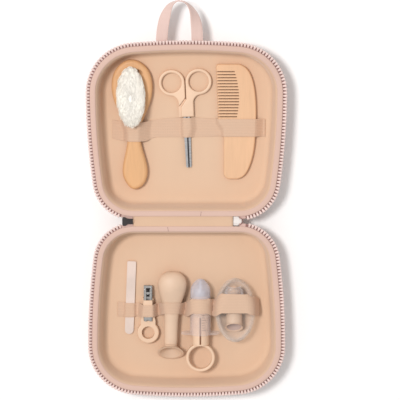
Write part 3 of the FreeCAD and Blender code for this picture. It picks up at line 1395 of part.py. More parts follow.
def dispenser_barrel():
    """A clear tube with a spigot at the front and two finger wings at the back."""
    inner = d.barrel_radius - d.barrel_wall
    length = d.barrel_length
    body = turned(new_body("dispenser_barrel"), (
        (inner, ZERO), (d.barrel_radius, ZERO), (d.barrel_radius, length), (d.nose_radius, length),
        (d.nose_radius, length + d.nose_length), (d.nose_bore, length + d.nose_length),
        (d.nose_bore, length - d.barrel_wall), (inner, length - d.barrel_wall)))
    reach, tall = d.flange_half_width, d.flange_half_height
    for sign in (-1, 1):
        wing = new_sketch(body, role="XZ_Plane", level=-d.flange_thickness)
        near = (d.barrel_radius - d.barrel_wall / 2) * sign
        upper = [(near * WING_ROOT_SHARE, tall * WING_ROOT_SHARE)]
        upper += [(reach * out * sign, tall * up) for out, up in WING_SHARES]
        draw_polygon(wing, tuple((x, barrel_z + y) for x, y in upper + [(x, -y) for x, y in reversed(upper)]))
        pad(body, wing, d.flange_thickness)
    bore = new_sketch(body, role="XZ_Plane", level=-d.flange_thickness)
    draw_circle(bore, ZERO, barrel_z, inner)
    pocket(body, bore, d.flange_thickness, back=True)
    return keep(dispenser_place(body), "dispenser_barrel")


def dispenser_tip():
    """A soft ogive tip that pushes over the spigot."""
    length = d.barrel_length
    fit = d.nose_radius + d.fit_gap
    deep = length + d.nose_length + d.fit_gap
    near, far = length + d.tip_straight, length + d.tip_length
    taper = tuple((d.tip_radius * wide, near + (far - near) * along) for along, wide in TIP_SHARES)
    body = turned(new_body("dispenser_tip"), (
        (fit, length), (d.tip_radius, length), (d.tip_radius, near)) + taper + (
        (d.tip_end_radius, far), (d.tip_bore, far), (d.tip_bore, deep), (fit, deep)))
    return keep(dispenser_place(body), "dispenser_tip")


def dispenser_plunger():
    """A slotted stem that ends in a finger ring with rounded edges."""
    body = new_body("dispenser_plunger")
    ring_y = d.plunger_ring_lap - d.plunger_out - d.plunger_ring_radius
    low = barrel_z - d.plunger_ring_height / 2
    high = low + d.plunger_ring_height
    ring = new_sketch(body, level=low)
    draw_circle(ring, ZERO, ring_y, d.plunger_ring_radius)
    pad(body, ring, d.plunger_ring_height)
    hole = new_sketch(body, level=high)
    draw_circle(hole, ZERO, ring_y, d.plunger_ring_hole)
    solid = pocket(body, hole, d.plunger_ring_height)
    round_edges(body, solid, d.plunger_ring_edge, level_at_any(low, high))
    turned(body, (
        (ZERO, -d.plunger_out), (d.plunger_radius, -d.plunger_out),
        (d.plunger_radius, d.plunger_in), (ZERO, d.plunger_in)))
    slot_half = d.plunger_slot / 2
    depth = d.plunger_radius - d.plunger_slot_depth
    far = d.plunger_radius + d.cut_overrun
    slots = new_sketch(body, role="XZ_Plane", level=-d.plunger_in - d.cut_overrun)
    for sign in (1, -1):
        draw_polygon(slots, ((-slot_half, barrel_z + depth * sign), (slot_half, barrel_z + depth * sign),
                             (slot_half, barrel_z + far * sign), (-slot_half, barrel_z + far * sign)))
        draw_polygon(slots, ((depth * sign, barrel_z - slot_half), (far * sign, barrel_z - slot_half),
                             (far * sign, barrel_z + slot_half), (depth * sign, barrel_z + slot_half)))
    run = d.plunger_in + d.cut_overrun + d.plunger_out - d.plunger_ring_lap
    pocket(body, slots, run, back=True)
    return keep(dispenser_place(body), "dispenser_plunger")


def dispenser_seal():
    """The plunger's rubber seal, grooved between its two lips."""
    radius = d.barrel_radius - d.barrel_wall - d.seal_play
    start = d.plunger_in
    ribs = tuple((radius * wide, start + d.seal_length * along) for along, wide in SEAL_SHARES)
    body = turned(new_body("dispenser_seal"), ((ZERO, start),) + ribs + ((ZERO, start + d.seal_length),))
    return keep(dispenser_place(body), "dispenser_seal")


# Finger toothbrush in its clear case

def case_place(thing):
    return put(thing, d.brush_case_x, base_edge_y - brush_case_y, seat)


def brush_case_shell(label, height, up):
    """Half of the clear case: an oval dish with rounded edges and a lip at the parting line."""
    body = new_body(label)
    parting = d.brush_case_lower if not up else d.brush_case_lower + d.fit_gap
    half_x, half_y = d.brush_case_half_width, d.brush_case_half_length
    outside = new_sketch(body, level=parting)
    draw_ellipse(outside, half_x, half_y)
    pad(body, outside, height, back=not up)
    far = parting + height if up else parting - height
    inside = new_sketch(body, level=parting)
    draw_ellipse(inside, half_x - d.brush_case_wall, half_y - d.brush_case_wall)
    hollow = pocket(body, inside, height - d.brush_case_wall, back=up)
    bottom = far - d.brush_case_wall if up else far + d.brush_case_wall
    hollow = round_edges(body, hollow, d.brush_case_edge - d.brush_case_wall, level_at(bottom))
    round_edges(body, hollow, d.brush_case_edge, level_at(far))
    lip = new_sketch(body, level=parting)
    draw_ellipse(lip, half_x + d.brush_case_lip, half_y + d.brush_case_lip)
    draw_ellipse(lip, half_x - d.brush_case_wall, half_y - d.brush_case_wall)
    pad(body, lip, d.brush_case_lip_thickness, back=not up)
    return keep(case_place(body), label)


def finger_brush():
    """A soft thimble with short bristles, lying in the case with its mouth towards the front."""
    body = new_body("finger_brush")
    middle = d.brush_case_wall + d.fit_gap + d.finger_radius
    mouth, end = -d.finger_mouth_y, d.finger_length - d.finger_mouth_y
    profile = new_sketch(body, role="YZ_Plane", level=d.finger_x)
    wall = d.finger_wall
    dome_length, dome_width = (d.finger_top_radius * share for share in FINGER_DOME_SHARES)
    shoulder = end - dome_length
    draw_polygon(profile, tuple((along, middle + radius) for radius, along in (
        (d.finger_radius - wall, mouth), (d.finger_radius, mouth), (d.finger_radius, mouth + wall),
        (d.finger_top_radius, shoulder), (dome_width, end - wall), (ZERO, end), (ZERO, end - wall),
        (dome_width - wall, end - 2 * wall), (d.finger_top_radius - wall, shoulder))))
    axis = profile.addGeometry(Part.LineSegment(flat(mouth, middle), flat(end, middle)), True)
    hold(profile, axis, 1, mouth, middle)
    hold(profile, axis, 2, end, middle)
    turn = body.newObject("PartDesign::Revolution", "finger_turn")
    turn.Profile = profile
    turn.ReferenceAxis = (profile, ["Axis0"])
    doc.recompute()
    nubs = new_sketch(body, level=middle + d.finger_top_radius - wall / 2)
    for row in range(NUB_ROWS):
        for column in (-1, 0, 1):
            y = shoulder - d.nub_pitch * row - d.nub_pitch / 2
            draw_circle(nubs, d.finger_x + d.nub_pitch * NUB_COLUMN_SHARE * column, y, d.nub_radius)
    pad(body, nubs, d.nub_height)
    return keep(case_place(body), "finger_brush")


def base_strap():
    gap, run = d.seat_gap.value, d.strap_slope.value
    middle_y = base_strap_y.value
    file_middle = d.file_x.value - (file_y.value - middle_y) * math.tan(math.radians(d.file_turn.value))
    file_half = (d.file_width / 2).value + 3 * gap
    file_top = (d.file_board + 2 * d.file_grit + 2 * d.seat_gap).value
    clip_half = (d.clipper_body_back / 2 + d.seat_gap).value
    clip_top = (clipper_height + 2 * d.seat_gap).value
    stem_run = aspirator_y.value - middle_y
    neck_x = d.aspirator_x.value - stem_run * math.tan(math.radians(d.aspirator_turn.value))
    covered = stem_run + (d.base_strap_width / 2 - d.stem_start).value
    upper_share = covered / soft_run.value + STRAP_MARGIN_SHARE
    swell = max(part for along, part in ASPIRATOR_SHARES if along <= upper_share)
    neck_half = (d.stem_radius + (d.bulb_half_width - d.stem_radius) * swell).value + 2 * gap
    flatness = (d.bulb_half_height / d.bulb_half_width).value
    neck_top = d.bulb_half_height.value + neck_half * flatness + gap
    barrel_half = d.barrel_radius.value + gap
    barrel_top = (2 * d.barrel_radius + 2 * d.seat_gap).value
    case_half = (d.brush_case_half_width + d.brush_case_lip).value + gap
    case_top = (d.brush_case_lower + d.brush_case_upper + d.fit_gap + 2 * d.seat_gap).value
    humps = []
    for middle, half, before, after, height in (
            (file_middle, file_half, run / 2, run / 4, file_top),
            (d.clipper_x.value, clip_half, run / 4, run / 4, clip_top),
            (neck_x, neck_half, run / 4, run / 4, neck_top),
            (d.dispenser_x.value, barrel_half, 0, 0, barrel_top),
            (d.brush_case_x.value, case_half, 0, run / 2, case_top)):
        left, right = middle - half, middle + half
        humps.append((left - before, left, right, right + after, height))
    return strap("base_strap", "base", base_strap_y, d.base_strap_width, humps)


def build():
    for half, phase in (("base", 0), ("lid", 1)):
        shell(half)
        liner(half)
        zip_tape(half)
        zip_teeth(half, phase)
        binding(half)
    hinge_fabric()
    zip_end_loop()
    zip_slider()
    zip_pull()
    handle_tabs()
    carry_handle()
    brush_body()
    brush_bristles()
    scissors()
    comb()
    lid_strap()
    nail_file()
    clipper_body()
    clipper_jaw("clipper_lower_jaw", lower_jaw_z, lower_jaw_z + d.jaw_thickness,
                lower_jaw_z + d.jaw_thickness + (d.jaw_spacing - d.jaw_bite) / 2)
    clipper_jaw("clipper_upper_jaw", upper_jaw_z, upper_jaw_z - (d.jaw_spacing - d.jaw_bite) / 2, upper_jaw_z)
    clipper_rear_rivet()
    clipper_post()
    clipper_lever()
    clipper_lever_grip()
    aspirator_bulb()
    aspirator_cup()
    dispenser_barrel()
    dispenser_tip()
    dispenser_plunger()
    dispenser_seal()
    brush_case_shell("brush_case_lower", d.brush_case_lower, False)
    brush_case_shell("brush_case_upper", d.brush_case_upper, True)
    finger_brush()
    base_strap()
    doc.recompute()


def check():
    """Stop before anything is written if a piece failed."""
    for thing in doc.Objects:
        if "Invalid" in thing.State or "Error" in thing.State:
            raise RuntimeError(f"{thing.Name} is {thing.State}")
    for node in nodes:
        if node.Shape.isNull() or not node.Shape.isValid():
            raise RuntimeError(f"{node.Label} has no valid shape")


def write():
    os.makedirs("parts", exist_ok=True)
    for node in nodes:
        node.Shape.exportStep(f"parts/{node.Label}.step")
        box_of = node.Shape.BoundBox
        print(f"{node.Label}: {len(node.Shape.Solids)} solids, "
              f"x {box_of.XMin:.1f} {box_of.XMax:.1f}, y {box_of.YMin:.1f} {box_of.YMax:.1f}, "
              f"z {box_of.ZMin:.1f} {box_of.ZMax:.1f}")


build()
check()
write()
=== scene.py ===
import math
import random

import bmesh
import bpy
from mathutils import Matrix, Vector
from mathutils.bvhtree import BVHTree


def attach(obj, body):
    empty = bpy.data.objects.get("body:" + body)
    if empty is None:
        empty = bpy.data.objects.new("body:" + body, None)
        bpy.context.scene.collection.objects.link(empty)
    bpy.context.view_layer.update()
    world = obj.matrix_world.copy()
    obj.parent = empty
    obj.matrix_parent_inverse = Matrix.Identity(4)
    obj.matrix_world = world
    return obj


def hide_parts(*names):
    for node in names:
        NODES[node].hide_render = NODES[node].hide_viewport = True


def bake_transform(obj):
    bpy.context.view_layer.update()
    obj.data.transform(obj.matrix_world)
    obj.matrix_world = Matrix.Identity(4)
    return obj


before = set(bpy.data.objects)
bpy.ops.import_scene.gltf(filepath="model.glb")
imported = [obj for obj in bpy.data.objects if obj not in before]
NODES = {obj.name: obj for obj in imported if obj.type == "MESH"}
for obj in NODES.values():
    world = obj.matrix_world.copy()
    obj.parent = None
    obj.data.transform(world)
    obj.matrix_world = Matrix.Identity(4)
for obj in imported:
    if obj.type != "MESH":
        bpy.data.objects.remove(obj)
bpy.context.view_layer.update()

MM = 0.001

# Sizes of the case, in millimetres, as the solids have them
RIM_WIDTH, RIM_DEPTH = 191.6, 172.0
FAR_RADIUS, NEAR_RADIUS, NEAR_EDGE, CROWN = 46.0, 37.0, 106.0, 2.0
RIM_TOP, SHELL_TOP, FLOOR_TOP = 30.0, 28.2, 3.8
HINGE_Y, LID_EDGE_Y, BASE_EDGE_Y = 91.0, 96.0, 86.0


# Materials

def linear(red, green, blue):
    """A colour as seen on screen, 0 to 255, in the shader's own linear scale."""
    def one(value):
        value /= 255.0
        return value / 12.92 if value <= 0.04045 else ((value + 0.055) / 1.055) ** 2.4
    return one(red), one(green), one(blue), 1.0


def shaded(colour, factor):
    """A colour made darker or lighter."""
    return tuple(min(1.0, part * factor) for part in colour[:3]) + (1.0,)


class Shade:
    """One procedural material. Each call adds a node and hands back its output."""

    def __init__(self, name):
        self.material = bpy.data.materials.new(name)
        self.material.use_nodes = True
        self.tree = self.material.node_tree
        self.surface = self.tree.nodes["Principled BSDF"]
        self.place = self.node("ShaderNodeTexCoord").outputs["Object"]

    def node(self, kind, inputs=(), **settings):
        made = self.tree.nodes.new(kind)
        for key, value in settings.items():
            setattr(made, key, value)
        for key, value in dict(inputs).items():
            self.feed(made.inputs[key], value)
        return made

    def feed(self, socket, value):
        if isinstance(value, bpy.types.NodeSocket):
            self.tree.links.new(value, socket)
        else:
            socket.default_value = value

    def maths(self, operation, first, second=0.0, clamp=False):
        made = self.node("ShaderNodeMath", {0: first, 1: second}, operation=operation, use_clamp=clamp)
        return made.outputs[0]

    def times(self, first, second):
        return self.maths("MULTIPLY", first, second)

    def plus(self, first, second):
        return self.maths("ADD", first, second)

    def stretched(self, x, y, z):
        made = self.node("ShaderNodeVectorMath", {0: self.place, 1: (x, y, z)}, operation="MULTIPLY")
        return made.outputs[0]

    def axis(self, letter):
        return self.node("ShaderNodeSeparateXYZ", {0: self.place}).outputs[letter]

    def noise(self, scale, detail=3.0, rough=0.55, at=None):
        made = self.node("ShaderNodeTexNoise", {"Vector": at or self.place, "Scale": scale, "Detail": detail,
                                                "Roughness": rough})
        return made.outputs["Fac"]

    def ribs(self, coordinate, pitch):
        """A smooth ridge every pitch metres along a coordinate, from 0 to 1."""
        turned = self.maths("SINE", self.times(coordinate, 2 * math.pi / pitch))
        return self.plus(self.times(turned, 0.5), 0.5)

    def between(self, value, low, high, new_low=0.0, new_high=1.0):
        made = self.node("ShaderNodeMapRange", {"Value": value, "From Min": low, "From Max": high,
                                                "To Min": new_low, "To Max": new_high})
        return made.outputs[0]

    def spread(self, noise, low=0.0, high=1.0):
        """The range that most of a noise lies in, spread from low to high."""
        return self.between(noise, 0.3, 0.7, low, high)

    def mix(self, share, first, second):
        made = self.node("ShaderNodeMix", data_type="RGBA")
        self.feed(made.inputs["Factor"], share)
        self.feed(made.inputs["A"], first)
        self.feed(made.inputs["B"], second)
        return made.outputs["Result"]

    def bump(self, height, distance):
        made = self.node("ShaderNodeBump", {"Height": height, "Strength": 1.0, "Distance": distance})
        return made.outputs[0]

    def facing(self, blend):
        return self.node("ShaderNodeLayerWeight", {"Blend": blend}).outputs["Facing"]

    def done(self, **inputs):
        for key, value in inputs.items():
            self.feed(self.surface.inputs[key.replace("_", " ")], value)
        return self.material


def cloth_shade(name, colour, pitch, along, depth, cross=0.0, mottle=0.05):
    """Woven cloth: fine ribs along one way, a faint cross weave, and slow changes of tone."""
    made = Shade(name)
    ribs = made.ribs(made.axis(along), pitch)
    height = ribs
    if cross:
        other = "Y" if along == "X" else "X"
        height = made.plus(ribs, made.times(made.ribs(made.axis(other), pitch * 1.1), cross))
    fuzz = made.noise(2600, 2.0)
    height = made.plus(height, made.times(fuzz, 0.5))
    slow = made.noise(22, 4.0)
    tone = made.plus(made.times(made.plus(slow, -0.5), 2 * mottle), made.times(made.plus(ribs, -0.5), 0.07))
    cloth = made.mix(made.between(tone, -0.12, 0.12), shaded(colour, 0.86), shaded(colour, 1.1))
    rough = made.between(fuzz, 0.2, 0.8, 0.78, 0.95)
    return made.done(Base_Color=cloth, Roughness=rough, Normal=made.bump(height, depth),
                     Sheen_Weight=0.25, Sheen_Roughness=0.5, Specular_IOR_Level=0.25)


def wood_shade(name, colour, contrast=1.0):
    """Pale beech: fine long grain, short flecks, and slow bands of tone."""
    made = Shade(name)
    long_grain = made.noise(70, 5.0, 0.6, made.stretched(7.0, 0.5, 7.0))
    flecks = made.noise(900, 2.0, 0.5, made.stretched(1.0, 0.05, 1.0))
    bands = made.noise(26, 2.0, 0.5, made.stretched(1.3, 0.35, 1.0))
    tone = made.plus(made.times(long_grain, 0.5), made.times(bands, 0.5))
    wood = made.mix(made.between(tone, 0.32, 0.68), shaded(colour, 1 - 0.1 * contrast),
                    shaded(colour, 1 + 0.08 * contrast))
    wood = made.mix(made.between(flecks, 0.60, 0.74, 0.0, 0.25 * contrast), wood, shaded(colour, 0.72))
    height = made.plus(made.times(flecks, 0.6), long_grain)
    return made.done(Base_Color=wood, Roughness=made.spread(long_grain, 0.42, 0.58),
                     Normal=made.bump(height, 0.00005), Specular_IOR_Level=0.4)


def plastic_shade(name, colour, rough, grain=0.00003):
    """Moulded plastic: a fine satin grain and faint changes of gloss."""
    made = Shade(name)
    fine = made.noise(1800, 2.0)
    slow = made.noise(45, 3.0)
    tone = made.mix(made.between(slow, 0.35, 0.65), shaded(colour, 0.95), shaded(colour, 1.04))
    gloss = made.plus(made.spread(slow, rough - 0.05, rough + 0.05), made.times(fine, 0.04))
    return made.done(Base_Color=tone, Roughness=gloss, Normal=made.bump(fine, grain))


# How noise is stretched into scratches along an axis, and how deep they are, in metres
SCRATCH_WAYS, SCRATCH_DEPTH = {"X": (0.03, 1.0, 1.0), "Y": (1.0, 0.03, 1.0)}, 0.00001


def scratched(made, colour, along, fineness=3200, in_shade=0.82, bright=1.1):
    """Fine scratches along one way, and the metal's colour with them in it."""
    scratches = made.noise(fineness, 3.0, 0.6, made.stretched(*SCRATCH_WAYS[along]))
    return scratches, made.mix(made.spread(scratches), shaded(colour, in_shade), shaded(colour, bright))


def metal_shade(name, colour, rough):
    """Brushed metal: fine scratches along the tool and faint smears."""
    made = Shade(name)
    scratches, tone = scratched(made, colour, "Y")
    smears = made.noise(160, 3.0)
    gloss = made.plus(made.spread(smears, rough - 0.06, rough + 0.08), made.times(scratches, 0.06))
    return made.done(Base_Color=tone, Metallic=1.0, Roughness=gloss,
                     Normal=made.bump(scratches, SCRATCH_DEPTH))


def steel_with_painted_shade(made, unshaded, shade_colour, scratches, tone, roughest):
    """Ground steel where the mask is unshaded, and a painted dark shade elsewhere."""
    return made.done(Base_Color=made.mix(unshaded, shade_colour, tone), Metallic=1.0,
                     Roughness=made.spread(scratches, 0.26, roughest),
                     Normal=made.bump(scratches, SCRATCH_DEPTH))


def blade_shade(name, colour):
    """Ground steel of the scissors: bright flats, and a painted shadow along the line where the blades meet."""
    made = Shade(name)
    # The line of painted shadow in metres: a point on it, its lean, its shift aside and the soft edge of the
    # shadow
    line_x, line_y, lean, shift, edge = 0.0005, 0.1834, math.radians(2.6), 0.0002, (0.0004, 0.0011)
    x, y = made.axis("X"), made.axis("Y")
    aside = made.plus(made.plus(x, -line_x), made.times(made.plus(y, -line_y), math.tan(lean)))
    unshadowed = made.between(made.maths("ABSOLUTE", made.plus(aside, -shift)), *edge)
    scratches, tone = scratched(made, colour, "X", 3600, 0.8, 1.15)
    # Near black, painted as the shadow between the blades
    return steel_with_painted_shade(made, unshadowed, (0.05, 0.045, 0.045, 1.0), scratches, tone, 0.4)


def jaw_shade(name, colour):
    """Steel of the clipper's upper jaw, with painted dark shade where the lever's fork straddles the post."""
    made = Shade(name)
    # The painted shade in metres: its middle, and the soft edges of its sides, its near end and its far end
    middle, sides, near, far = -0.0395, (0.0022, 0.0026), (0.0094, 0.0104), (0.0186, 0.0192)
    x, y = made.axis("X"), made.axis("Y")
    beside_it = made.between(made.maths("ABSOLUTE", made.plus(x, -middle)), *sides)
    before_it, beyond_it = made.between(y, *near, 1.0, 0.0), made.between(y, *far)
    unshaded = made.maths("MAXIMUM", made.maths("MAXIMUM", beside_it, before_it), beyond_it)
    scratches, tone = scratched(made, colour, "Y")
    # Near black, painted as the shade in the gap round the post
    return steel_with_painted_shade(made, unshaded, (0.035, 0.03, 0.03, 1.0), scratches, tone, 0.36)


def clear_shade(name, colour, alpha, edge, rough, haze=0.0):
    """Clear or hazy moulding: nearly invisible face on, denser where it turns away."""
    made = Shade(name)
    slow = made.noise(70, 3.0)
    turned = made.maths("POWER", made.facing(0.35), 1.6)
    density = made.plus(made.times(turned, edge - alpha), alpha)
    density = made.plus(density, made.times(made.plus(slow, -0.5), haze))
    tone = made.mix(slow, shaded(colour, 0.94), shaded(colour, 1.05))
    return made.done(Base_Color=tone, Alpha=made.maths("ADD", density, 0.0, clamp=True),
                     Specular_IOR_Level=0.6, Roughness=made.spread(slow, rough, rough + 0.08),
                     Coat_Weight=0.3)


PEACH, BLUSH = linear(219, 187, 160), linear(213, 181, 167)
LINER = cloth_shade("liner_cloth", PEACH, 0.0011, "X", 0.00002, mottle=0.035)
BINDING = cloth_shade("binding_cloth", BLUSH, 0.0008, "X", 0.00004, cross=0.8, mottle=0.04)
TAPE = cloth_shade("tape_twill", linear(214, 180, 170), 0.0010, "X", 0.00008, cross=0.7)
# Dark tape: painted shade under the zip teeth and in the zip's closed end, and the dark seam of the band joints
TAPE_SHADE_AND_SEAM = cloth_shade("tape_painted_shade_and_seam", linear(150, 112, 106), 0.0010, "X", 0.00008, cross=0.7)
STRAP = cloth_shade("strap_elastic", linear(214, 181, 156), 0.0016, "Y", 0.00016, cross=0.5, mottle=0.03)
RIBBON = cloth_shade("handle_webbing", linear(224, 195, 186), 0.0012, "Y", 0.00016, cross=0.9, mottle=0.04)
HINGE = cloth_shade("hinge_cloth", linear(216, 182, 154), 0.0012, "Y", 0.00008, cross=0.6)
# Pale colour painted as light in the shaded closed end of the zip
PAINTED_LIGHT_WEB = cloth_shade("pale_web_painted_light", linear(236, 230, 226), 0.0008, "Y", 0.00004)
THREAD = cloth_shade("thread", linear(214, 184, 170), 0.0004, "X", 0.00004)
COVER = cloth_shade("shell_cover", linear(214, 180, 164), 0.0014, "X", 0.00002, cross=0.9)
WOOD = wood_shade("beech", linear(217, 169, 122))
PALE_WOOD = wood_shade("pale_beech", linear(224, 182, 145), 0.8)
TEETH = plastic_shade("zip_tooth", linear(226, 200, 193), 0.45)
CREAM = plastic_shade("cream_plastic", linear(226, 193, 165), 0.42)
SOFT = plastic_shade("silicone", linear(217, 187, 162), 0.5, 0.00002)
STEEL = metal_shade("steel", (0.46, 0.45, 0.44), 0.28)
BLADE = blade_shade("blade_steel", (0.40, 0.40, 0.41))
JAW = jaw_shade("jaw_steel", (0.46, 0.45, 0.44))
DARK = plastic_shade("dark_enamel", linear(34, 26, 26), 0.35)
BRISTLE = plastic_shade("bristle", linear(252, 247, 238), 0.8)
# Dark brown painted as shade at the roots of the bristles
ROOT_SHADE = plastic_shade("bristle_root", linear(146, 112, 82), 0.7)
GRIT = plastic_shade("grit_paper", linear(222, 204, 194), 0.9, 0.0002)
CORE = wood_shade("file_core", linear(226, 190, 160))
CLEAR = clear_shade("clear_moulding", linear(254, 248, 246), 0.03, 0.66, 0.07)
BARREL = clear_shade("clear_barrel", linear(240, 226, 224), 0.16, 0.66, 0.1)
FROST = clear_shade("frosted_tip", linear(226, 224, 234), 0.44, 0.84, 0.3, 0.14)
# Darker silicone painted as the shade inside the thimble
INSIDE_SHADE = plastic_shade("thimble_inside_painted_shade", linear(186, 160, 150), 0.6)
NYLON = plastic_shade("soft_bristle", linear(222, 212, 210), 0.5)
TICK = plastic_shade("print", linear(150, 132, 126), 0.6)


# Meshes

def mesh_piece(name, points, faces, material, body, slot, *nodes, smooth=True):
    """A new piece from points in millimetres, riding on a body and standing for solids."""
    data = bpy.data.meshes.new(name)
    data.from_pydata([Vector(point) * MM for point in points], [], faces)
    work = bmesh.new()
    work.from_mesh(data)
    bmesh.ops.recalc_face_normals(work, faces=work.faces)
    work.to_mesh(data)
    work.free()
    data.materials.append(material)
    if smooth:
        data.shade_smooth()
    else:
        data.shade_flat()
    piece = bpy.data.objects.new(name, data)
    bpy.context.scene.collection.objects.link(piece)
    if body:
        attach(piece, body)
    if nodes:
        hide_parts(*nodes)
    return piece


def grid_faces(rows, columns, wrap_rows=False, wrap_columns=False, offset=0):
    """Faces between rows of points, which may close round either way."""
    faces = []
    for row in range(rows if wrap_rows else rows - 1):
        for column in range(columns if wrap_columns else columns - 1):
            near, far = row * columns, (row + 1) % rows * columns
            after = (column + 1) % columns
            corners = (near + column, near + after, far + after, far + column)
            faces.append(tuple(offset + index for index in corners))
    return faces


def tube_faces(rows, columns, offset=0, foot=True):
    """Faces of a row of rings, closed at its last ring and, with a foot, at its first."""
    last = offset + (rows - 1) * columns
    faces = grid_faces(rows, columns, wrap_columns=True, offset=offset)
    if foot:
        faces.append(tuple(range(offset, offset + columns)))
    faces.append(tuple(range(last, last + columns)))
    return faces


def sheet_faces(rows, columns):
    """Faces of a sheet of two layers of points, closed all round its border."""
    count = rows * columns
    border = list(range(columns)) + [row * columns + columns - 1 for row in range(1, rows)]
    border += [(rows - 1) * columns + column for column in range(columns - 2, -1, -1)]
    border += [row * columns for row in range(rows - 2, 0, -1)]
    faces = grid_faces(rows, columns) + grid_faces(rows, columns, offset=count)
    return faces + [(a, b, b + count, a + count) for a, b in zip(border, border[1:] + border[:1])]


def beside(row, k):
    """The entries before and after place k of a row, which at an end are the end itself."""
    return row[max(k - 1, 0)], row[min(k + 1, len(row) - 1)]


def blurred(row, weight):
    """Each entry averaged with its neighbours, itself counted this many times."""
    out = []
    for k, here in enumerate(row):
        before, after = beside(row, k)
        out.append((before + weight * here + after) / (weight + 2))
    return out


# Rim outline: the same arcs as the solids

RIM_STEP = 3.0


def rim_arcs():
    """Arcs from the right hinge corner round to the left one: centre, radius, first and last angle."""
    half = RIM_WIDTH / 2
    far_x, far_y = half - FAR_RADIUS, RIM_DEPTH - FAR_RADIUS - CROWN
    near_x, near_y = NEAR_EDGE / 2, NEAR_RADIUS
    spare, rise = half - near_x, far_y - near_y
    side = (rise * rise / (spare - near_y) + near_y + spare) / 2
    lift = RIM_DEPTH - far_y
    far = (far_x ** 2 + lift ** 2 - FAR_RADIUS ** 2) / (2 * (lift - FAR_RADIUS))
    near_angle = math.atan2(near_y - far_y, near_x - half + side)
    corner_angle = math.atan2(far_y - RIM_DEPTH + far, far_x)
    right = [(near_x, near_y, NEAR_RADIUS, -math.pi / 2, near_angle),
             (half - side, far_y, side, near_angle, 0.0),
             (far_x, far_y, FAR_RADIUS, 0.0, corner_angle)]
    top = [(0.0, RIM_DEPTH - far, far, corner_angle, math.pi - corner_angle)]
    left = [(-x, y, r, math.pi - b, math.pi - a) for x, y, r, a, b in reversed(right)]
    return right + top + left


ARCS = rim_arcs()
ARC_LENGTH = sum(r * (b - a) for _, _, r, a, b in ARCS)


def rim_at(distance, inset):
    """The point this far along the rim from its right hinge corner, in the half's own frame."""
    for x, y, r, a, b in ARCS:
        if distance <= r * (b - a):
            break
        distance -= r * (b - a)
    angle = a + min(distance / r, b - a)
    return x + math.cos(angle) * (r - inset), y + math.sin(angle) * (r - inset), angle


def rim_loop():
    """Stations round the whole rim, hinge edge included; each gives a point for any inset."""
    count = round(ARC_LENGTH / RIM_STEP)
    stations = [lambda inset, s=ARC_LENGTH * k / count: rim_at(s, inset)[:2] for k in range(count + 1)]
    edge = round(NEAR_EDGE / RIM_STEP)
    for k in range(1, edge):
        x = -NEAR_EDGE / 2 + NEAR_EDGE * k / edge
        stations.append(lambda inset, x=x: (x, inset))
    return stations


LOOP = rim_loop()


def in_half(half, x, y, z):
    """A point of a half's own frame, in the scene; the base lies as the lid does, turned half round."""
    return (x, LID_EDGE_Y + y, z) if half == "lid" else (-x, BASE_EDGE_Y - y, z)


def round_rim(half, profile):
    """Points of a profile of insets and heights, carried round the rim."""
    return [in_half(half, *station(inset), z) for inset, z in profile for station in LOOP]


# Linings, rim bands, zip and seams

WALL_INSET, WALL_DRAFT = 7.2, math.radians(7.0)
FLOOR_ROUND, FLOOR_BORDER = 6.0, 8.0
ROUND_Z = FLOOR_TOP + FLOOR_ROUND
ROUND_INSET = WALL_INSET + (SHELL_TOP - ROUND_Z) * math.tan(WALL_DRAFT) + FLOOR_ROUND / math.cos(WALL_DRAFT)
# Upper end of the lining: inset from the rim, height over the shell's top
LINER_HEM = ((4.8, 0.5), (5.6, 0.42), (6.1, 0.1), (6.5, -0.6), (6.85, -1.6))
LINER_WALL_DROP, LINER_THICKNESS = 2.8, 0.6
# Section of the rim band: inset from the rim, height over the rim's top
BAND_SECTION = ((0.45, -1.0), (0.05, -0.7), (0.15, -0.35), (0.6, -0.1), (1.5, 0.0), (3.2, -0.02),
                (4.5, -0.12), (5.2, -0.35), (5.6, -0.8), (5.5, -1.2), (5.0, -1.25), (3.0, -1.05))
# Section of the zip tape: inset from the rim, height; then the rows of its outer strip, which is painted with
# shade under the teeth
TAPE_SECTION = ((5.0, 28.9), (0.5, 28.95), (-0.1, 28.85), (-0.5, 28.3), (-2.4, 28.1), (-2.9, 27.95),
                (-2.6, 27.7), (0.2, 27.7), (5.0, 28.25))
STRIP_FIRST, STRIP_END = 2, 8
# Bare tape at the ends of a row of teeth
BARE_AT_LOOP, BARE_AT_SLIDER = 5.0, 11.6
TOOTH_PITCH, TOOTH_Z = 3.2, 28.75
TOOTH_LOOP = ((-0.7, -1.0), (0.7, -1.0), (1.0, -0.6), (1.0, 0.6),
              (0.7, 1.0), (-0.7, 1.0), (-1.0, 0.6), (-1.0, -0.6))
# Rows of a tooth: inset, half width along the rim, half height
TOOTH_ROWS = ((-0.2, 0.7, 0.30), (-0.5, 0.95, 0.50), (-1.7, 0.98, 0.66), (-2.2, 1.2, 0.84),
              (-2.8, 1.36, 0.98), (-3.5, 1.36, 1.0), (-3.95, 1.2, 0.86), (-4.1, 0.8, 0.5))
SEAM_INSET, SEAM_DROP, STITCH_PITCH, HINGE_STITCHES = 4.3, 0.12, 3.0, 34
STITCH_LENGTH, STITCH_THICK, STITCH_SIDES, STITCH_DIP, STITCH_FLAT = 1.9, 0.14, 6, 0.9, 0.8
# Rows of a stitch: share along it, share of its thickness
STITCH_ROWS = ((-0.5, 0.25), (-0.42, 0.8), (-0.15, 1.0), (0.15, 1.0), (0.42, 0.8), (0.5, 0.25))


def lining_height(inset):
    """Height of the lining this far in from the rim, down its rounded foot and over its floor."""
    if inset >= ROUND_INSET:
        return FLOOR_TOP
    across = min(FLOOR_ROUND, ROUND_INSET - inset)
    return ROUND_Z - math.sqrt(FLOOR_ROUND ** 2 - across ** 2)


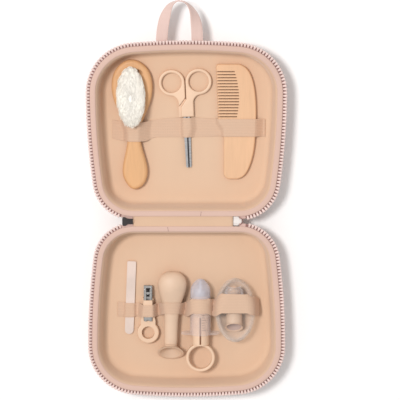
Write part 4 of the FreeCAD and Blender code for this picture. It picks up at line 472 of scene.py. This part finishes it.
def liner(half):
    """The lining: tucked under the rim band, then the drafted wall, a round foot and the flat floor."""
    wall_start, wall_end = SHELL_TOP - LINER_WALL_DROP, ROUND_Z - FLOOR_ROUND * math.sin(WALL_DRAFT)
    wall_steps, foot_steps = 5, 12
    profile = [(inset, SHELL_TOP + rise) for inset, rise in LINER_HEM]
    for k in range(wall_steps):
        z = wall_start - (wall_start - wall_end) * k / wall_steps
        profile.append((WALL_INSET + (SHELL_TOP - z) * math.tan(WALL_DRAFT), z))
    for k in range(foot_steps + 1):
        angle = WALL_DRAFT + (math.pi / 2 - WALL_DRAFT) * k / foot_steps
        profile.append((ROUND_INSET - FLOOR_ROUND * math.cos(angle), ROUND_Z - FLOOR_ROUND * math.sin(angle)))
    profile.append((ROUND_INSET + FLOOR_BORDER, FLOOR_TOP))
    points, faces = round_rim(half, profile), tube_faces(len(profile), len(LOOP), foot=False)
    piece = mesh_piece(f"{half}_lining", points, faces, LINER, half, "liner", f"{half}_liner")
    cloth = piece.modifiers.new("solidify", "SOLIDIFY")
    cloth.thickness, cloth.offset = LINER_THICKNESS * MM, -1.0


def binding(half):
    """The smooth rim band: rolled outer edge, a low crown, and an inner edge tucked down to the lining."""
    points = round_rim(half, [(inset, RIM_TOP + rise) for inset, rise in BAND_SECTION])
    faces = grid_faces(len(BAND_SECTION), len(LOOP), wrap_rows=True, wrap_columns=True)
    mesh_piece(f"{half}_rim_band", points, faces, BINDING, half, "trim", f"{half}_rim_binding")


def teeth_ends(half):
    """Bare tape before the first and after the last tooth of a half's row."""
    return (BARE_AT_LOOP, BARE_AT_SLIDER) if half == "lid" else (BARE_AT_SLIDER, BARE_AT_LOOP)


def zip_tape(half):
    """The woven tape between the rim band and the teeth; its outer strip, where they stand on it, is painted
    dark with shade.
    """
    count = round(ARC_LENGTH / RIM_STEP)
    row = count + 1
    points = []
    for inset, z in TAPE_SECTION:
        for k in range(row):
            x, y, _ = rim_at(ARC_LENGTH * k / count, inset)
            points.append(in_half(half, x, y, z))
    faces = grid_faces(len(TAPE_SECTION), row, wrap_rows=True)
    for end in (0, count):
        faces.append(tuple(index * row + end for index in range(len(TAPE_SECTION))))
    piece = mesh_piece(f"{half}_tape", points, faces, TAPE, half, "trim", f"{half}_zip_tape")
    # The outer strip under the teeth gets the dark tape, painted shade where the teeth stand on it
    piece.data.materials.append(TAPE_SHADE_AND_SEAM)
    near, far = teeth_ends(half)
    first, last = near * count / ARC_LENGTH, (ARC_LENGTH - far) * count / ARC_LENGTH
    for polygon in piece.data.polygons:
        in_shade = all(row * STRIP_FIRST <= index < row * STRIP_END and first <= index % row <= last
                   for index in polygon.vertices)
        polygon.material_index = 1 if in_shade else 0


def zip_teeth(half, phase):
    """Moulded teeth, one by one round the rim, each with a narrow neck and a broad rounded head."""
    near, far = teeth_ends(half)
    count = int((ARC_LENGTH - near - far) / TOOTH_PITCH - phase / 2)
    start = near + phase * TOOTH_PITCH / 2
    points, faces = [], []
    for k in range(count):
        x, y, angle = rim_at(start + (k + 0.5) * TOOTH_PITCH, 0.0)
        out = (math.cos(angle), math.sin(angle))
        along = (-out[1], out[0])
        faces += tube_faces(len(TOOTH_ROWS), len(TOOTH_LOOP), len(points))
        for inset, wide, tall in TOOTH_ROWS:
            for a, b in TOOTH_LOOP:
                px = x - out[0] * inset + along[0] * a * wide
                py = y - out[1] * inset + along[1] * a * wide
                points.append(in_half(half, px, py, TOOTH_Z + b * tall))
    mesh_piece(f"{half}_teeth", points, faces, TEETH, half, "zip_teeth", f"{half}_zip_teeth")


def stitches(name, places, body):
    """A row of thread stitches that dip in at their ends; each place is a point and a direction."""
    points, faces = [], []
    up = Vector((0, 0, 1))
    for centre, way in places:
        centre, way = Vector(centre), Vector(way).normalized()
        side = way.cross(up)
        faces += grid_faces(len(STITCH_ROWS), STITCH_SIDES, wrap_columns=True, offset=len(points))
        for along, wide in STITCH_ROWS:
            dip = -STITCH_THICK * STITCH_DIP * (2 * along) ** 4
            for k in range(STITCH_SIDES):
                angle = 2 * math.pi * k / STITCH_SIDES
                points.append(centre + way * (along * STITCH_LENGTH)
                              + side * (math.cos(angle) * STITCH_THICK * wide)
                              + up * (math.sin(angle) * STITCH_THICK * wide * STITCH_FLAT + dip))
    mesh_piece(name, points, faces, THREAD, body, "trim")


def rim_stitches(half):
    """The seam that holds the rim band, in the groove along its inner roll."""
    places = []
    z = RIM_TOP - SEAM_DROP
    count = int(ARC_LENGTH / STITCH_PITCH)
    turn = -1 if half == "base" else 1
    for k in range(count):
        x, y, angle = rim_at((k + 0.5) * ARC_LENGTH / count, SEAM_INSET)
        places.append((in_half(half, x, y, z), (-turn * math.sin(angle), turn * math.cos(angle), 0.0)))
    for k in range(HINGE_STITCHES):
        x = -NEAR_EDGE / 2 + (k + 0.5) * NEAR_EDGE / HINGE_STITCHES
        places.append((in_half(half, x, SEAM_INSET, z), (1, 0, 0)))
    stitches(f"{half}_rim_seam", places, half)


for half, phase in (("base", 0), ("lid", 1)):
    liner(half)
    binding(half)
    zip_tape(half)
    zip_teeth(half, phase)
    rim_stitches(half)


# Hinge cloth, the closed end of the zip, and the joints of the rim bands

def hinge_cloth():
    """The cloth hinge: a sheet that dips a little between the rims."""
    rows, columns = 25, 40
    left, right, reach, thick = -53.5, 46.6, 9.4, 0.7
    lift, sag, gap, ripple, waves = 0.05, 0.5, 5.0, 0.12, 0.16
    points = []
    for level in (0, 1):
        for row in range(rows):
            v = -reach + 2 * reach * row / (rows - 1)
            trough = max(0.0, 1 - (v / gap) ** 2)
            for column in range(columns):
                x = left + (right - left) * column / (columns - 1)
                wave = ripple * math.sin(x * waves) * trough
                points.append((x, HINGE_Y + v, SHELL_TOP + lift + thick * level - sag * trough + wave))
    faces = sheet_faces(rows, columns)
    # A short tongue at its left end
    half, root, tip = 1.7, left + 1.0, left - 3.1
    tongue = ((-half, lift), (half, lift), (half, thick), (-half, thick))
    faces += tube_faces(2, len(tongue), len(points))
    for x in (root, tip):
        points += [(x, HINGE_Y + y, SHELL_TOP + z) for y, z in tongue]
    piece = mesh_piece("hinge_cloth", points, faces, HINGE, None, "trim", "hinge_fabric")
    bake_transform(piece)


def end_loop():
    """The closed end of the zip, a narrow tape on edge that bows out between the rims."""
    rows, middle = 25, 52.4
    section = ((3.5, 25.9), (3.5, 28.9), (4.1, 28.9), (4.1, 25.9))
    points = []
    for row in range(rows):
        angle = -math.pi / 2 + math.pi * row / (rows - 1)
        for radius, z in section:
            points.append((middle + math.cos(angle) * radius, HINGE_Y + math.sin(angle) * radius, z))
    faces = tube_faces(rows, len(section))
    # The loop's dark colour is painted shade
    piece = mesh_piece("zip_end_tape", points, faces, TAPE_SHADE_AND_SEAM, None, "trim", "zip_end_loop")
    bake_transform(piece)


def end_web():
    """A thin web that fills the closed end of the zip, with a small fold in it; its pale colour is painted light
    where the gap would lie in shade.
    """
    rows, columns = 13, 11
    start, middle, radius, reach, z, thick = 46.0, 52.2, 3.4, 4.8, 26.6, 0.3
    fold_rise, fold_width, fold_start, fold_slant = 0.5, 0.7, 0.9, 1.6
    points = []
    for level in (0, 1):
        for row in range(rows):
            v = -reach + 2 * reach * row / (rows - 1)
            end = middle + math.sqrt(max(0.0, radius ** 2 - v * v))
            for column in range(columns):
                share = column / (columns - 1)
                fold = fold_rise * math.exp(-((v + fold_start + fold_slant * share) / fold_width) ** 2)
                points.append((start + (end - start) * share, HINGE_Y + v, z + fold + thick * level))
    piece = mesh_piece("zip_end_web", points, sheet_faces(rows, columns), PAINTED_LIGHT_WEB, None, "trim")
    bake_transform(piece)


def band_joint(half, x):
    """The sewn joint where the ends of a half's rim band meet, beside the hinge."""
    edge, way = (LID_EDGE_Y, 1) if half == "lid" else (BASE_EDGE_Y, -1)
    rows, first, length, slant, droop, level = 9, 0.7, 4.3, 0.14, 0.05, 3.0
    section = ((-0.36, -0.3), (-0.2, 0.03), (0.2, 0.03), (0.36, -0.3))
    points = []
    for row in range(rows):
        inset = first + length * row / (rows - 1)
        top = RIM_TOP - droop * max(0.0, inset - level) ** 2
        for aside, rise in section:
            points.append((x + aside + slant * inset, edge + way * inset, top + rise))
    mesh_piece(f"{half}_band_joint", points, tube_faces(rows, len(section)), TAPE_SHADE_AND_SEAM, half, "trim")


hinge_cloth()
end_loop()
end_web()
band_joint("lid", 14.0)
band_joint("base", -19.0)


# Carry handle

# Stations of the ribbon: share of its span, share of its reach, share of its roll on edge
HANDLE_SHARES = (
    (0.0, 0.0, 0.0), (0.03, 0.28, 0.06), (0.10, 0.58, 0.30), (0.22, 0.84, 0.68), (0.38, 0.97, 0.95),
    (0.55, 0.99, 1.0), (0.74, 0.90, 0.92), (0.90, 0.66, 0.58), (0.98, 0.34, 0.16), (1.0, 0.0, 0.0),
)
HANDLE_LEFT, HANDLE_RIGHT, HANDLE_REACH, HANDLE_WIDTH = -24.3, 10.8, 38.0, 11.4
HANDLE_ROOT, HANDLE_Z, HANDLE_TAIL, HANDLE_STEPS = 273.0, 26.0, 8, 10
HANDLE_ACROSS = (-1.0, -0.96, -0.6, 0.0, 0.6, 0.96, 1.0)
HANDLE_THICK = (0.25, 0.5, 0.55, 0.6, 0.55, 0.5, 0.25)


def smooth_line(rows, per_span):
    """A smooth curve through rows of numbers."""
    out = []
    for k in range(len(rows) - 1):
        p0, p1 = rows[max(k - 1, 0)], rows[k]
        p2, p3 = rows[k + 1], rows[min(k + 2, len(rows) - 1)]
        for step in range(per_span):
            t = step / per_span
            out.append(tuple(0.5 * (2 * b + (c - a) * t + (2 * a - 5 * b + 4 * c - e) * t * t
                                    + (3 * b - a - 3 * c + e) * t ** 3) for a, b, c, e in zip(p0, p1, p2, p3)))
    return out + [tuple(rows[-1])]


def carry_handle():
    """The ribbon: flat where it is sewn under the lid's zip, rolling on edge towards the top of the loop."""
    span = HANDLE_RIGHT - HANDLE_LEFT
    rows = [(HANDLE_LEFT + a * span, HANDLE_ROOT + b * HANDLE_REACH, c) for a, b, c in HANDLE_SHARES]
    line = smooth_line(rows, HANDLE_STEPS)
    line = [(line[0][0], HANDLE_ROOT - HANDLE_TAIL + k, 0.0) for k in range(HANDLE_TAIL)] + line
    line += [(line[-1][0], HANDLE_ROOT - 1.0 - k, 0.0) for k in range(HANDLE_TAIL)]
    points = []
    for k, (x, y, roll) in enumerate(line):
        before, after = beside(line, k)
        run = Vector((after[0] - before[0], after[1] - before[1], 0)).normalized()
        side = Vector((run.y, -run.x, 0))
        angle = math.radians(90 * max(0.0, min(1.0, roll)))
        wide = side * math.cos(angle) + Vector((0, 0, 1)) * math.sin(angle)
        face = run.cross(wide)
        for sign in (1, -1):
            for a, t in zip(HANDLE_ACROSS[::sign], HANDLE_THICK):
                points.append(Vector((x, y, HANDLE_Z)) + wide * (a * HANDLE_WIDTH / 2) + face * (sign * t))
    faces = tube_faces(len(line), 2 * len(HANDLE_ACROSS))
    piece = mesh_piece("handle_ribbon", points, faces, RIBBON, None, "trim", "carry_handle", "handle_tabs")
    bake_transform(piece)


carry_handle()


# Elastic straps

STRAP_STEP, TOOL_GAP, LINING_GAP = 0.8, 0.3, 0.05
# Where the rays that feel for the tools start, in metres
RAY_TOP = 0.1
# Section of a strap: place across it, and how far its upper and its under side lie over the tight line
STRAP_ACROSS = (-1.0, -0.985, -0.93, -0.75, -0.5, -0.25, 0.0, 0.25, 0.5, 0.75, 0.93, 0.985, 1.0)
STRAP_LIFT = (0.42, 0.6, 0.74, 0.8, 0.8, 0.8, 0.8, 0.8, 0.8, 0.8, 0.74, 0.6, 0.42)
STRAP_UNDER = (0.42, 0.25, 0.1, 0.04, 0.02, 0.02, 0.02, 0.02, 0.02, 0.04, 0.1, 0.25, 0.42)
LID_TOOLS = ("brush_body", "scissor_handle_left", "scissor_handle_right", "scissor_blade_left",
             "scissor_blade_right", "scissor_rivet", "comb")
BASE_TOOLS = ("file_grit_front", "clipper_body", "clipper_lower_jaw", "clipper_upper_jaw", "clipper_lever",
              "clipper_lever_grip", "clipper_post", "aspirator_bulb", "dispenser_barrel",
              "brush_case_upper", "brush_case_lower")
# Places along x, with how far the lower and the upper long edge lie beyond their usual line there
LID_SPREAD = ((-75.0, 1.0, -0.6), (-66.0, 3.0, -2.4), (-42.0, 3.2, -2.6), (-30.0, -0.4, -0.4),
              (-9.0, -0.6, 1.4), (10.0, -0.6, 1.4), (24.0, -0.8, 0.2), (34.0, -1.5, 0.4),
              (70.0, -1.5, 0.4), (80.0, -0.8, 0.0))
BASE_SPREAD = ((-72.0, 0.0, 0.0), (-58.0, 0.3, -1.0), (-50.0, -0.5, -1.2), (-40.0, -2.8, -1.4),
               (-30.0, -0.6, -0.8), (-20.0, -6.0, 2.2), (-11.0, -6.0, 2.2), (-1.0, -1.0, 0.4),
               (8.0, -7.6, 8.6), (19.0, -7.6, 8.6), (27.5, -3.0, 4.4), (36.0, -8.6, 13.0),
               (60.0, -8.6, 12.6), (68.0, -6.0, 9.0), (73.4, -3.0, 4.0))


def along_spread(spread, x):
    """How far the lower and the upper long edge spread at this place along a strap."""
    for (x0, low0, high0), (x1, low1, high1) in zip(spread, spread[1:]):
        if x <= x1:
            share = min(1.0, max(0.0, (x - x0) / (x1 - x0)))
            share = share * share * (3 - 2 * share)
            return low0 + (low1 - low0) * share, high0 + (high1 - high0) * share
    return spread[-1][1:]


def node_tree(node):
    """A solid's mesh, ready for rays."""
    mesh = NODES[node].data
    return BVHTree.FromPolygons([v.co for v in mesh.vertices], [tuple(f.vertices) for f in mesh.polygons])


def top_at(x, y, trees):
    """Height of what lies here, the lining or the tallest tool, with a little room over it."""
    top = lining_height(RIM_WIDTH / 2 - abs(x)) + LINING_GAP
    for tree in trees:
        hit = tree.ray_cast(Vector((x * MM, y * MM, RAY_TOP)), Vector((0, 0, -1)))[0]
        if hit is not None:
            top = max(top, hit.z / MM + TOOL_GAP)
    return top


def drawn_tight(places, tops, falls):
    """The tight line over a row of heights: no steeper than the falls to the left and to the right."""
    left, right = falls
    out = []
    for x in places:
        out.append(max(top - (left if x < at else right) * abs(x - at) for at, top in zip(places, tops)))
    for _ in range(2):
        out = [max(here, soft) for here, soft in zip(out, blurred(out, 1))]
    return out


def strap(name, body, node, tools, ends, middle, width, spread, falls):
    """An elastic strap drawn tight over the tools under it, falling to the lining between them."""
    count = round((ends[1] - ends[0]) / STRAP_STEP)
    places = [ends[0] + (ends[1] - ends[0]) * k / count for k in range(count + 1)]
    trees = [node_tree(tool) for tool in tools]
    lines, heights = [], []
    for a in STRAP_ACROSS:
        line = []
        for x in places:
            lower, upper = along_spread(spread, x)
            line.append(middle + (upper - lower) / 2 + a * (width + lower + upper) / 2)
        lines.append(line)
        heights.append(drawn_tight(places, [top_at(x, y, trees) for x, y in zip(places, line)], falls))
    # From here on the heights lie in rows across the strap
    heights = [blurred(row, 2) for row in zip(*heights)]
    around = list(enumerate(STRAP_LIFT)) + list(zip(reversed(range(len(STRAP_ACROSS))), STRAP_UNDER))
    points = []
    for k, x in enumerate(places):
        (x0, x1), (row0, row1) = beside(places, k), beside(heights, k)
        for j, lift in around:
            run = Vector((x1 - x0, 0, row1[j] - row0[j])).normalized()
            up = Vector((-run.z, 0, run.x))
            points.append(Vector((x, lines[j][k], heights[k][j])) + up * lift)
    mesh_piece(name, points, tube_faces(len(places), len(around)), STRAP, body, "strap", node)


strap("lid_elastic", "lid", "lid_strap", LID_TOOLS, ends=(-75.0, 79.3), middle=HINGE_Y + 91.0, width=19.0,
      spread=LID_SPREAD, falls=(1.9, 0.8))
strap("base_elastic", "base", "base_strap", BASE_TOOLS, ends=(-70.9, 73.4), middle=HINGE_Y - 95.4, width=15.6,
      spread=BASE_SPREAD, falls=(2.4, 2.4))


# Hair brush

BRUSH_X, BRUSH_Y, BRUSH_TURN, BRUSH_TOP = -51.3, HINGE_Y + 29.8, math.radians(1.8), 13.1
# Bristle mass from foot to tip: height over the wood, half width, half length, middle along the brush
MASS_ROWS = ((0.0, 12.2, 24.0, 98.4), (2.5, 12.7, 25.4, 97.8), (5.5, 13.3, 27.2, 96.8),
             (8.5, 13.6, 28.4, 95.6), (10.6, 13.3, 28.6, 94.8), (11.8, 12.3, 27.2, 94.4),
             (12.5, 9.8, 22.5, 94.4), (12.8, 5.6, 14.0, 94.4), (12.9, 1.5, 4.0, 94.4))
MASS_SIDES, MASS_LEAN = 64, -0.11
# Lumps round the mass: number, size, twist from row to row, the row they are full at and the row they end at
LUMPS, LUMP_SIZE, LUMP_TWIST, LUMP_FULL, LUMP_END = 13, 0.035, 2.2, 3, 6
# Loose hair: number, highest tip, depth of its root, and the ranges of its length, half width and combing
HAIRS, HAIR_TOP, HAIR_ROOT = 6400, 13.1, 0.4
HAIR_LENGTH, HAIR_WIDE, HAIR_COMBED = (1.2, 2.8), (0.1, 0.17), (0.6, 1.1)
# Tufts coloured with painted shade: middle across and along the brush, radius
ROOT_TUFTS = ((-4.4, 122.6, 0.7), (1.2, 123.0, 0.75), (7.0, 120.8, 1.0))
ROOT_HAIRS, ROOT_FOOT, ROOT_TIP = 22, 5.0, 10.8
ROOT_SPLAY, ROOT_LEAN, ROOT_WIDE, ROOT_BEND = 1.2, 1.2, 0.2, -0.4
GOLDEN_ANGLE = 2.39996
# Rows of a strand: share along it, share of its width
STRAND_ROWS, STRAND_SIDES = ((0.0, 1.0), (0.5, 0.9), (1.0, 0.45)), 4


def on_brush(x, y, z):
    """A point of the brush's own frame, in the scene."""
    cosine, sine = math.cos(BRUSH_TURN), math.sin(BRUSH_TURN)
    return Vector((BRUSH_X + x * cosine - y * sine, BRUSH_Y + x * sine + y * cosine, BRUSH_TOP + z))


def mass_point(row, turn):
    """A point on the bristle mass at a fraction of its rows and an angle round it."""
    k = min(int(row), len(MASS_ROWS) - 2)
    share = row - k
    z, half_x, half_y, middle = (a + (b - a) * share for a, b in zip(MASS_ROWS[k], MASS_ROWS[k + 1]))
    wave = math.sin(LUMPS * turn + LUMP_TWIST * row)
    lumps = 1.0 + LUMP_SIZE * wave * min(1.0, row / LUMP_FULL) * (row < LUMP_END)
    lean = MASS_LEAN * z
    return on_brush(lean + math.cos(turn) * half_x * lumps, middle + math.sin(turn) * half_y * lumps, z)


def strand(points, faces, foot, tip, wide, bend):
    """One bristle: four thin sides that taper to the tip, with a slight bend."""
    faces.extend(tube_faces(len(STRAND_ROWS), STRAND_SIDES, len(points), foot=False))
    for share, part in STRAND_ROWS:
        centre = foot.lerp(tip, share) + bend * (share * share)
        for side in range(STRAND_SIDES):
            angle = math.pi / 2 * side + foot.x
            points.append(centre + Vector((math.cos(angle) * wide * part, math.sin(angle) * wide * part, 0)))


def bristle_roots():
    """Roots that show between the tufts along the upper edge of the bristles, dark with painted shade."""
    chance = random.Random(5)
    points, faces = [], []
    for x, y, size in ROOT_TUFTS:
        for k in range(ROOT_HAIRS):
            spread, angle = math.sqrt((k + 0.5) / ROOT_HAIRS) * size, k * GOLDEN_ANGLE
            across, along = math.cos(angle) * spread, math.sin(angle) * spread
            foot = on_brush(x + across, y + along, ROOT_FOOT)
            tip = on_brush(x + across * ROOT_SPLAY, y - ROOT_LEAN + along, ROOT_TIP + chance.uniform(-0.6, 0.4))
            strand(points, faces, foot, tip, ROOT_WIDE, Vector((0, ROOT_BEND, 0)))
    mesh_piece("bristle_roots", points, faces, ROOT_SHADE, "brush", "bristle")


def bristles():
    """Soft hair bristles: one dense mass under fine loose hair that is combed down the brush."""
    chance = random.Random(7)
    rows = len(MASS_ROWS)
    points = [mass_point(row, 2 * math.pi * k / MASS_SIDES) for row in range(rows) for k in range(MASS_SIDES)]
    faces = tube_faces(rows, MASS_SIDES, foot=False)
    laid = on_brush(-0.22, -1.0, 0.0) - on_brush(0.0, 0.0, 0.0)
    for _ in range(HAIRS):
        row, turn = (rows - 1) * chance.random() ** 0.8, chance.uniform(0, 2 * math.pi)
        foot = mass_point(row, turn)
        out = (foot - mass_point(max(row - 1.5, 0.0), turn)).normalized()
        out = out * 0.4 + Vector((math.cos(turn) * 0.25, math.sin(turn) * 0.25, 0.2))
        out += laid * chance.uniform(*HAIR_COMBED)
        bend = Vector((chance.uniform(-0.5, 0.5), chance.uniform(-0.6, 0.3), chance.uniform(-0.2, 0.1)))
        tip = foot + out.normalized() * chance.uniform(*HAIR_LENGTH)
        tip.z = min(tip.z, BRUSH_TOP + HAIR_TOP)
        strand(points, faces, foot - out.normalized() * HAIR_ROOT, tip, chance.uniform(*HAIR_WIDE), bend)
    mesh_piece("bristle_mass", points, faces, BRISTLE, "brush", "bristle", "brush_bristles")


bristle_roots()
bristles()


# Dispenser graduation

BARREL_X, BARREL_Z, BARREL_END_Y = 13.9, 14.9, HINGE_Y - 119.0
TICKS, FIRST_TICK, TICK_PITCH, LONG_EVERY = 9, 6.0, 2.6, 4
TICK_RADIUS, TICK_THICK, TICK_HALF = 10.86, 0.06, 0.22
# Where a tick starts round the barrel, and how far a long and a short one reach, in degrees
TICK_START, LONG_REACH, SHORT_REACH, TICK_STEPS = 82.0, 26.0, 15.0, 6


def graduation():
    """Plain ticks printed along the barrel, curved to it."""
    points, faces = [], []
    row = TICK_STEPS + 1
    for k in range(TICKS):
        y = BARREL_END_Y + FIRST_TICK + k * TICK_PITCH
        reach = SHORT_REACH if k % LONG_EVERY else LONG_REACH
        offset = len(points)
        for radius in (TICK_RADIUS, TICK_RADIUS + TICK_THICK):
            for side in (-TICK_HALF, TICK_HALF):
                for step in range(row):
                    angle = math.radians(TICK_START - reach * step / TICK_STEPS)
                    points.append((BARREL_X + math.cos(angle) * radius, y + side,
                                   BARREL_Z + math.sin(angle) * radius))
        faces += grid_faces(2, row, offset=offset) + grid_faces(2, row, offset=offset + 2 * row)
        for low, high in ((0, 2 * row), (row, 3 * row)):
            for step in range(TICK_STEPS):
                a, b = offset + low + step, offset + high + step
                faces.append((a, a + 1, b + 1, b))
    mesh_piece("barrel_ticks", points, faces, TICK, "dispenser", None)


graduation()


# Finger toothbrush in its clear case

THIMBLE_X, THIMBLE_Z, THIMBLE_SIDES = 48.2, 14.4, 40
# Along the thimble from its bead at the mouth to its closed end: place, outer radius
THIMBLE_ROWS = ((-27.8, 8.5), (-28.2, 8.9), (-27.6, 9.2), (-26.6, 8.9), (-25.2, 8.4), (-17.0, 8.2),
                (-6.0, 7.8), (5.0, 7.4), (12.0, 7.0), (16.6, 6.2), (19.4, 4.9), (21.2, 2.9), (21.8, 0.6))
BEAD_ROWS, THIMBLE_WALL, THIMBLE_END, LEAST_RADIUS = 4, 1.1, 0.8, 0.3
SLANT_START, SLANT_LENGTH, SLANT = -2.0, 26.0, 12.6
# Soft bristles: rows and their pitch, half the number in a row and their pitch in degrees, then each one's
# depth of root, range of length, and lean at the first row and more of it from row to row
NYLON_ROWS, NYLON_START, NYLON_PITCH = 13, 5.0, 1.25
NYLON_HALF, NYLON_TURN, NYLON_SHIFT, NYLON_WIDE = 9, 10.5, 5.2, 0.36
NYLON_ROOT, NYLON_LENGTH, NYLON_LEAN, NYLON_LEAN_ROW = 0.3, (3.0, 3.5), 0.12, 0.03
DOME_START, DOME_RADIUS, DOME_FALL = 12, 7.2, 0.045


def thimble_ring(y, radius):
    """A ring of the thimble; towards the mouth it leans back, so that the mouth is cut aslant."""
    share = min(1.0, max(0.0, (SLANT_START - y) / SLANT_LENGTH))
    back = SLANT * share * share
    out = []
    for k in range(THIMBLE_SIDES):
        angle = 2 * math.pi * k / THIMBLE_SIDES
        lift = (1 + math.sin(angle)) / 2
        out.append((THIMBLE_X + math.cos(angle) * radius, y + back * lift, THIMBLE_Z + math.sin(angle) * radius))
    return out


def thimble():
    """A soft finger thimble: a bead at its slanted mouth, a hollow, and a closed domed end."""
    inner = [(y, max(radius - THIMBLE_WALL, LEAST_RADIUS)) for y, radius in THIMBLE_ROWS[BEAD_ROWS:-1]]
    rows = [thimble_ring(y - THIMBLE_END, radius) for y, radius in reversed(inner)]
    rows += [thimble_ring(y, radius) for y, radius in THIMBLE_ROWS]
    points = [point for row in rows for point in row]
    faces = tube_faces(len(rows), THIMBLE_SIDES)
    piece = mesh_piece("finger_thimble", points, faces, SOFT, "brush_case", "soft_rubber", "finger_brush")
    # The inside faces get a darker copy of the silicone, painted shade in the hollow
    piece.data.materials.append(INSIDE_SHADE)
    inside = len(inner) * THIMBLE_SIDES
    for polygon in piece.data.polygons:
        polygon.material_index = 1 if all(index < inside for index in polygon.vertices) else 0


def thimble_bristles():
    """Rows of fine soft bristles over the thimble's closed end."""
    chance = random.Random(11)
    points, faces = [], []
    for row in range(NYLON_ROWS):
        y = NYLON_START + row * NYLON_PITCH
        radius = DOME_RADIUS if y < DOME_START else DOME_RADIUS - (y - DOME_START) ** 2 * DOME_FALL
        root = radius - NYLON_ROOT
        for column in range(-NYLON_HALF, NYLON_HALF + 1):
            angle = math.radians(90 + column * NYLON_TURN + (NYLON_SHIFT if row % 2 else 0.0))
            out = Vector((math.cos(angle), NYLON_LEAN + NYLON_LEAN_ROW * row, math.sin(angle))).normalized()
            foot = Vector((THIMBLE_X + math.cos(angle) * root, y, THIMBLE_Z + math.sin(angle) * root))
            bend = Vector((0, chance.uniform(-0.1, 0.3), 0))
            strand(points, faces, foot, foot + out * chance.uniform(*NYLON_LENGTH), NYLON_WIDE, bend)
    mesh_piece("thimble_bristles", points, faces, NYLON, "brush_case", "soft_rubber")


thimble()
thimble_bristles()


# Finishes of the solids that stay

FINISH = {
    "base_shell": COVER, "lid_shell": COVER, "zip_slider": DARK, "zip_pull": DARK,
    "brush_body": WOOD, "comb": PALE_WOOD,
    "scissor_blade_left": BLADE, "scissor_blade_right": BLADE, "scissor_rivet": STEEL,
    "scissor_handle_left": CREAM, "scissor_handle_right": CREAM,
    "file_board": CORE, "file_grit_front": GRIT, "file_grit_back": GRIT,
    "clipper_body": CREAM, "clipper_lower_jaw": STEEL, "clipper_upper_jaw": JAW, "clipper_rear_rivet": STEEL,
    "clipper_post": STEEL, "clipper_lever": STEEL, "clipper_lever_grip": CREAM,
    "aspirator_bulb": SOFT, "aspirator_cup": SOFT,
    "dispenser_barrel": BARREL, "dispenser_tip": FROST, "dispenser_plunger": CREAM, "dispenser_seal": SOFT,
    "brush_case_lower": CLEAR, "brush_case_upper": CLEAR,
}
for node, material in FINISH.items():
    piece = NODES[node]
    piece.data.materials.clear()
    piece.data.materials.append(material)


# Camera, floor and light

def camera():
    """A long lens high over the open case, tilted a little, as the photograph has it."""
    data = bpy.data.cameras.new("camera")
    data.lens, data.sensor_width = 162.0, 36.0
    made = bpy.data.objects.new("camera", data)
    tilt, away = math.radians(9.0), 1.8
    aim = Vector((13.5 * MM, (HINGE_Y + 21.8) * MM, RIM_TOP * MM))
    made.location = aim + Vector((0, away * math.sin(tilt), away * math.cos(tilt)))
    made.rotation_euler = (-tilt, 0, 0)
    bpy.context.scene.collection.objects.link(made)
    bpy.context.scene.camera = made


def floor():
    """A wide white floor just under the case."""
    white = Shade("floor").done(Base_Color=(0.95, 0.95, 0.955, 1), Roughness=0.9, Specular_IOR_Level=0.1)
    size, z = 3000.0, -0.05
    points = [(-size, -size, z), (size, -size, z), (size, size, z), (-size, size, z)]
    piece = mesh_piece("floor", points, [(0, 1, 2, 3)], white, None, None, smooth=False)


def lamp(name, place, aim, size, watts, colour):
    """A round lamp that faces a point; places and sizes in metres."""
    data = bpy.data.lights.new(name, "AREA")
    data.shape, data.size, data.energy, data.color = "DISK", size, watts, colour
    made = bpy.data.objects.new(name, data)
    made.location = place
    made.rotation_euler = (Vector(aim) - Vector(place)).to_track_quat("-Z", "Y").to_euler()
    bpy.context.scene.collection.objects.link(made)


def light():
    """An even white surround and one key lamp from the upper left."""
    world = bpy.data.worlds.new("world")
    world.use_nodes = True
    surround = world.node_tree.nodes["Background"]
    surround.inputs["Color"].default_value = (1.0, 0.99, 0.98, 1)
    surround.inputs["Strength"].default_value = 0.62
    bpy.context.scene.world = world
    lamp("key", place=(-0.7, 0.62, 2.15), aim=(0, 0.1, 0), size=0.5, watts=32.5, colour=(1.0, 0.985, 0.97))
    bpy.context.scene.view_settings.view_transform = "Standard"
    bpy.context.scene.view_settings.look = "None"


camera()
floor()
light()
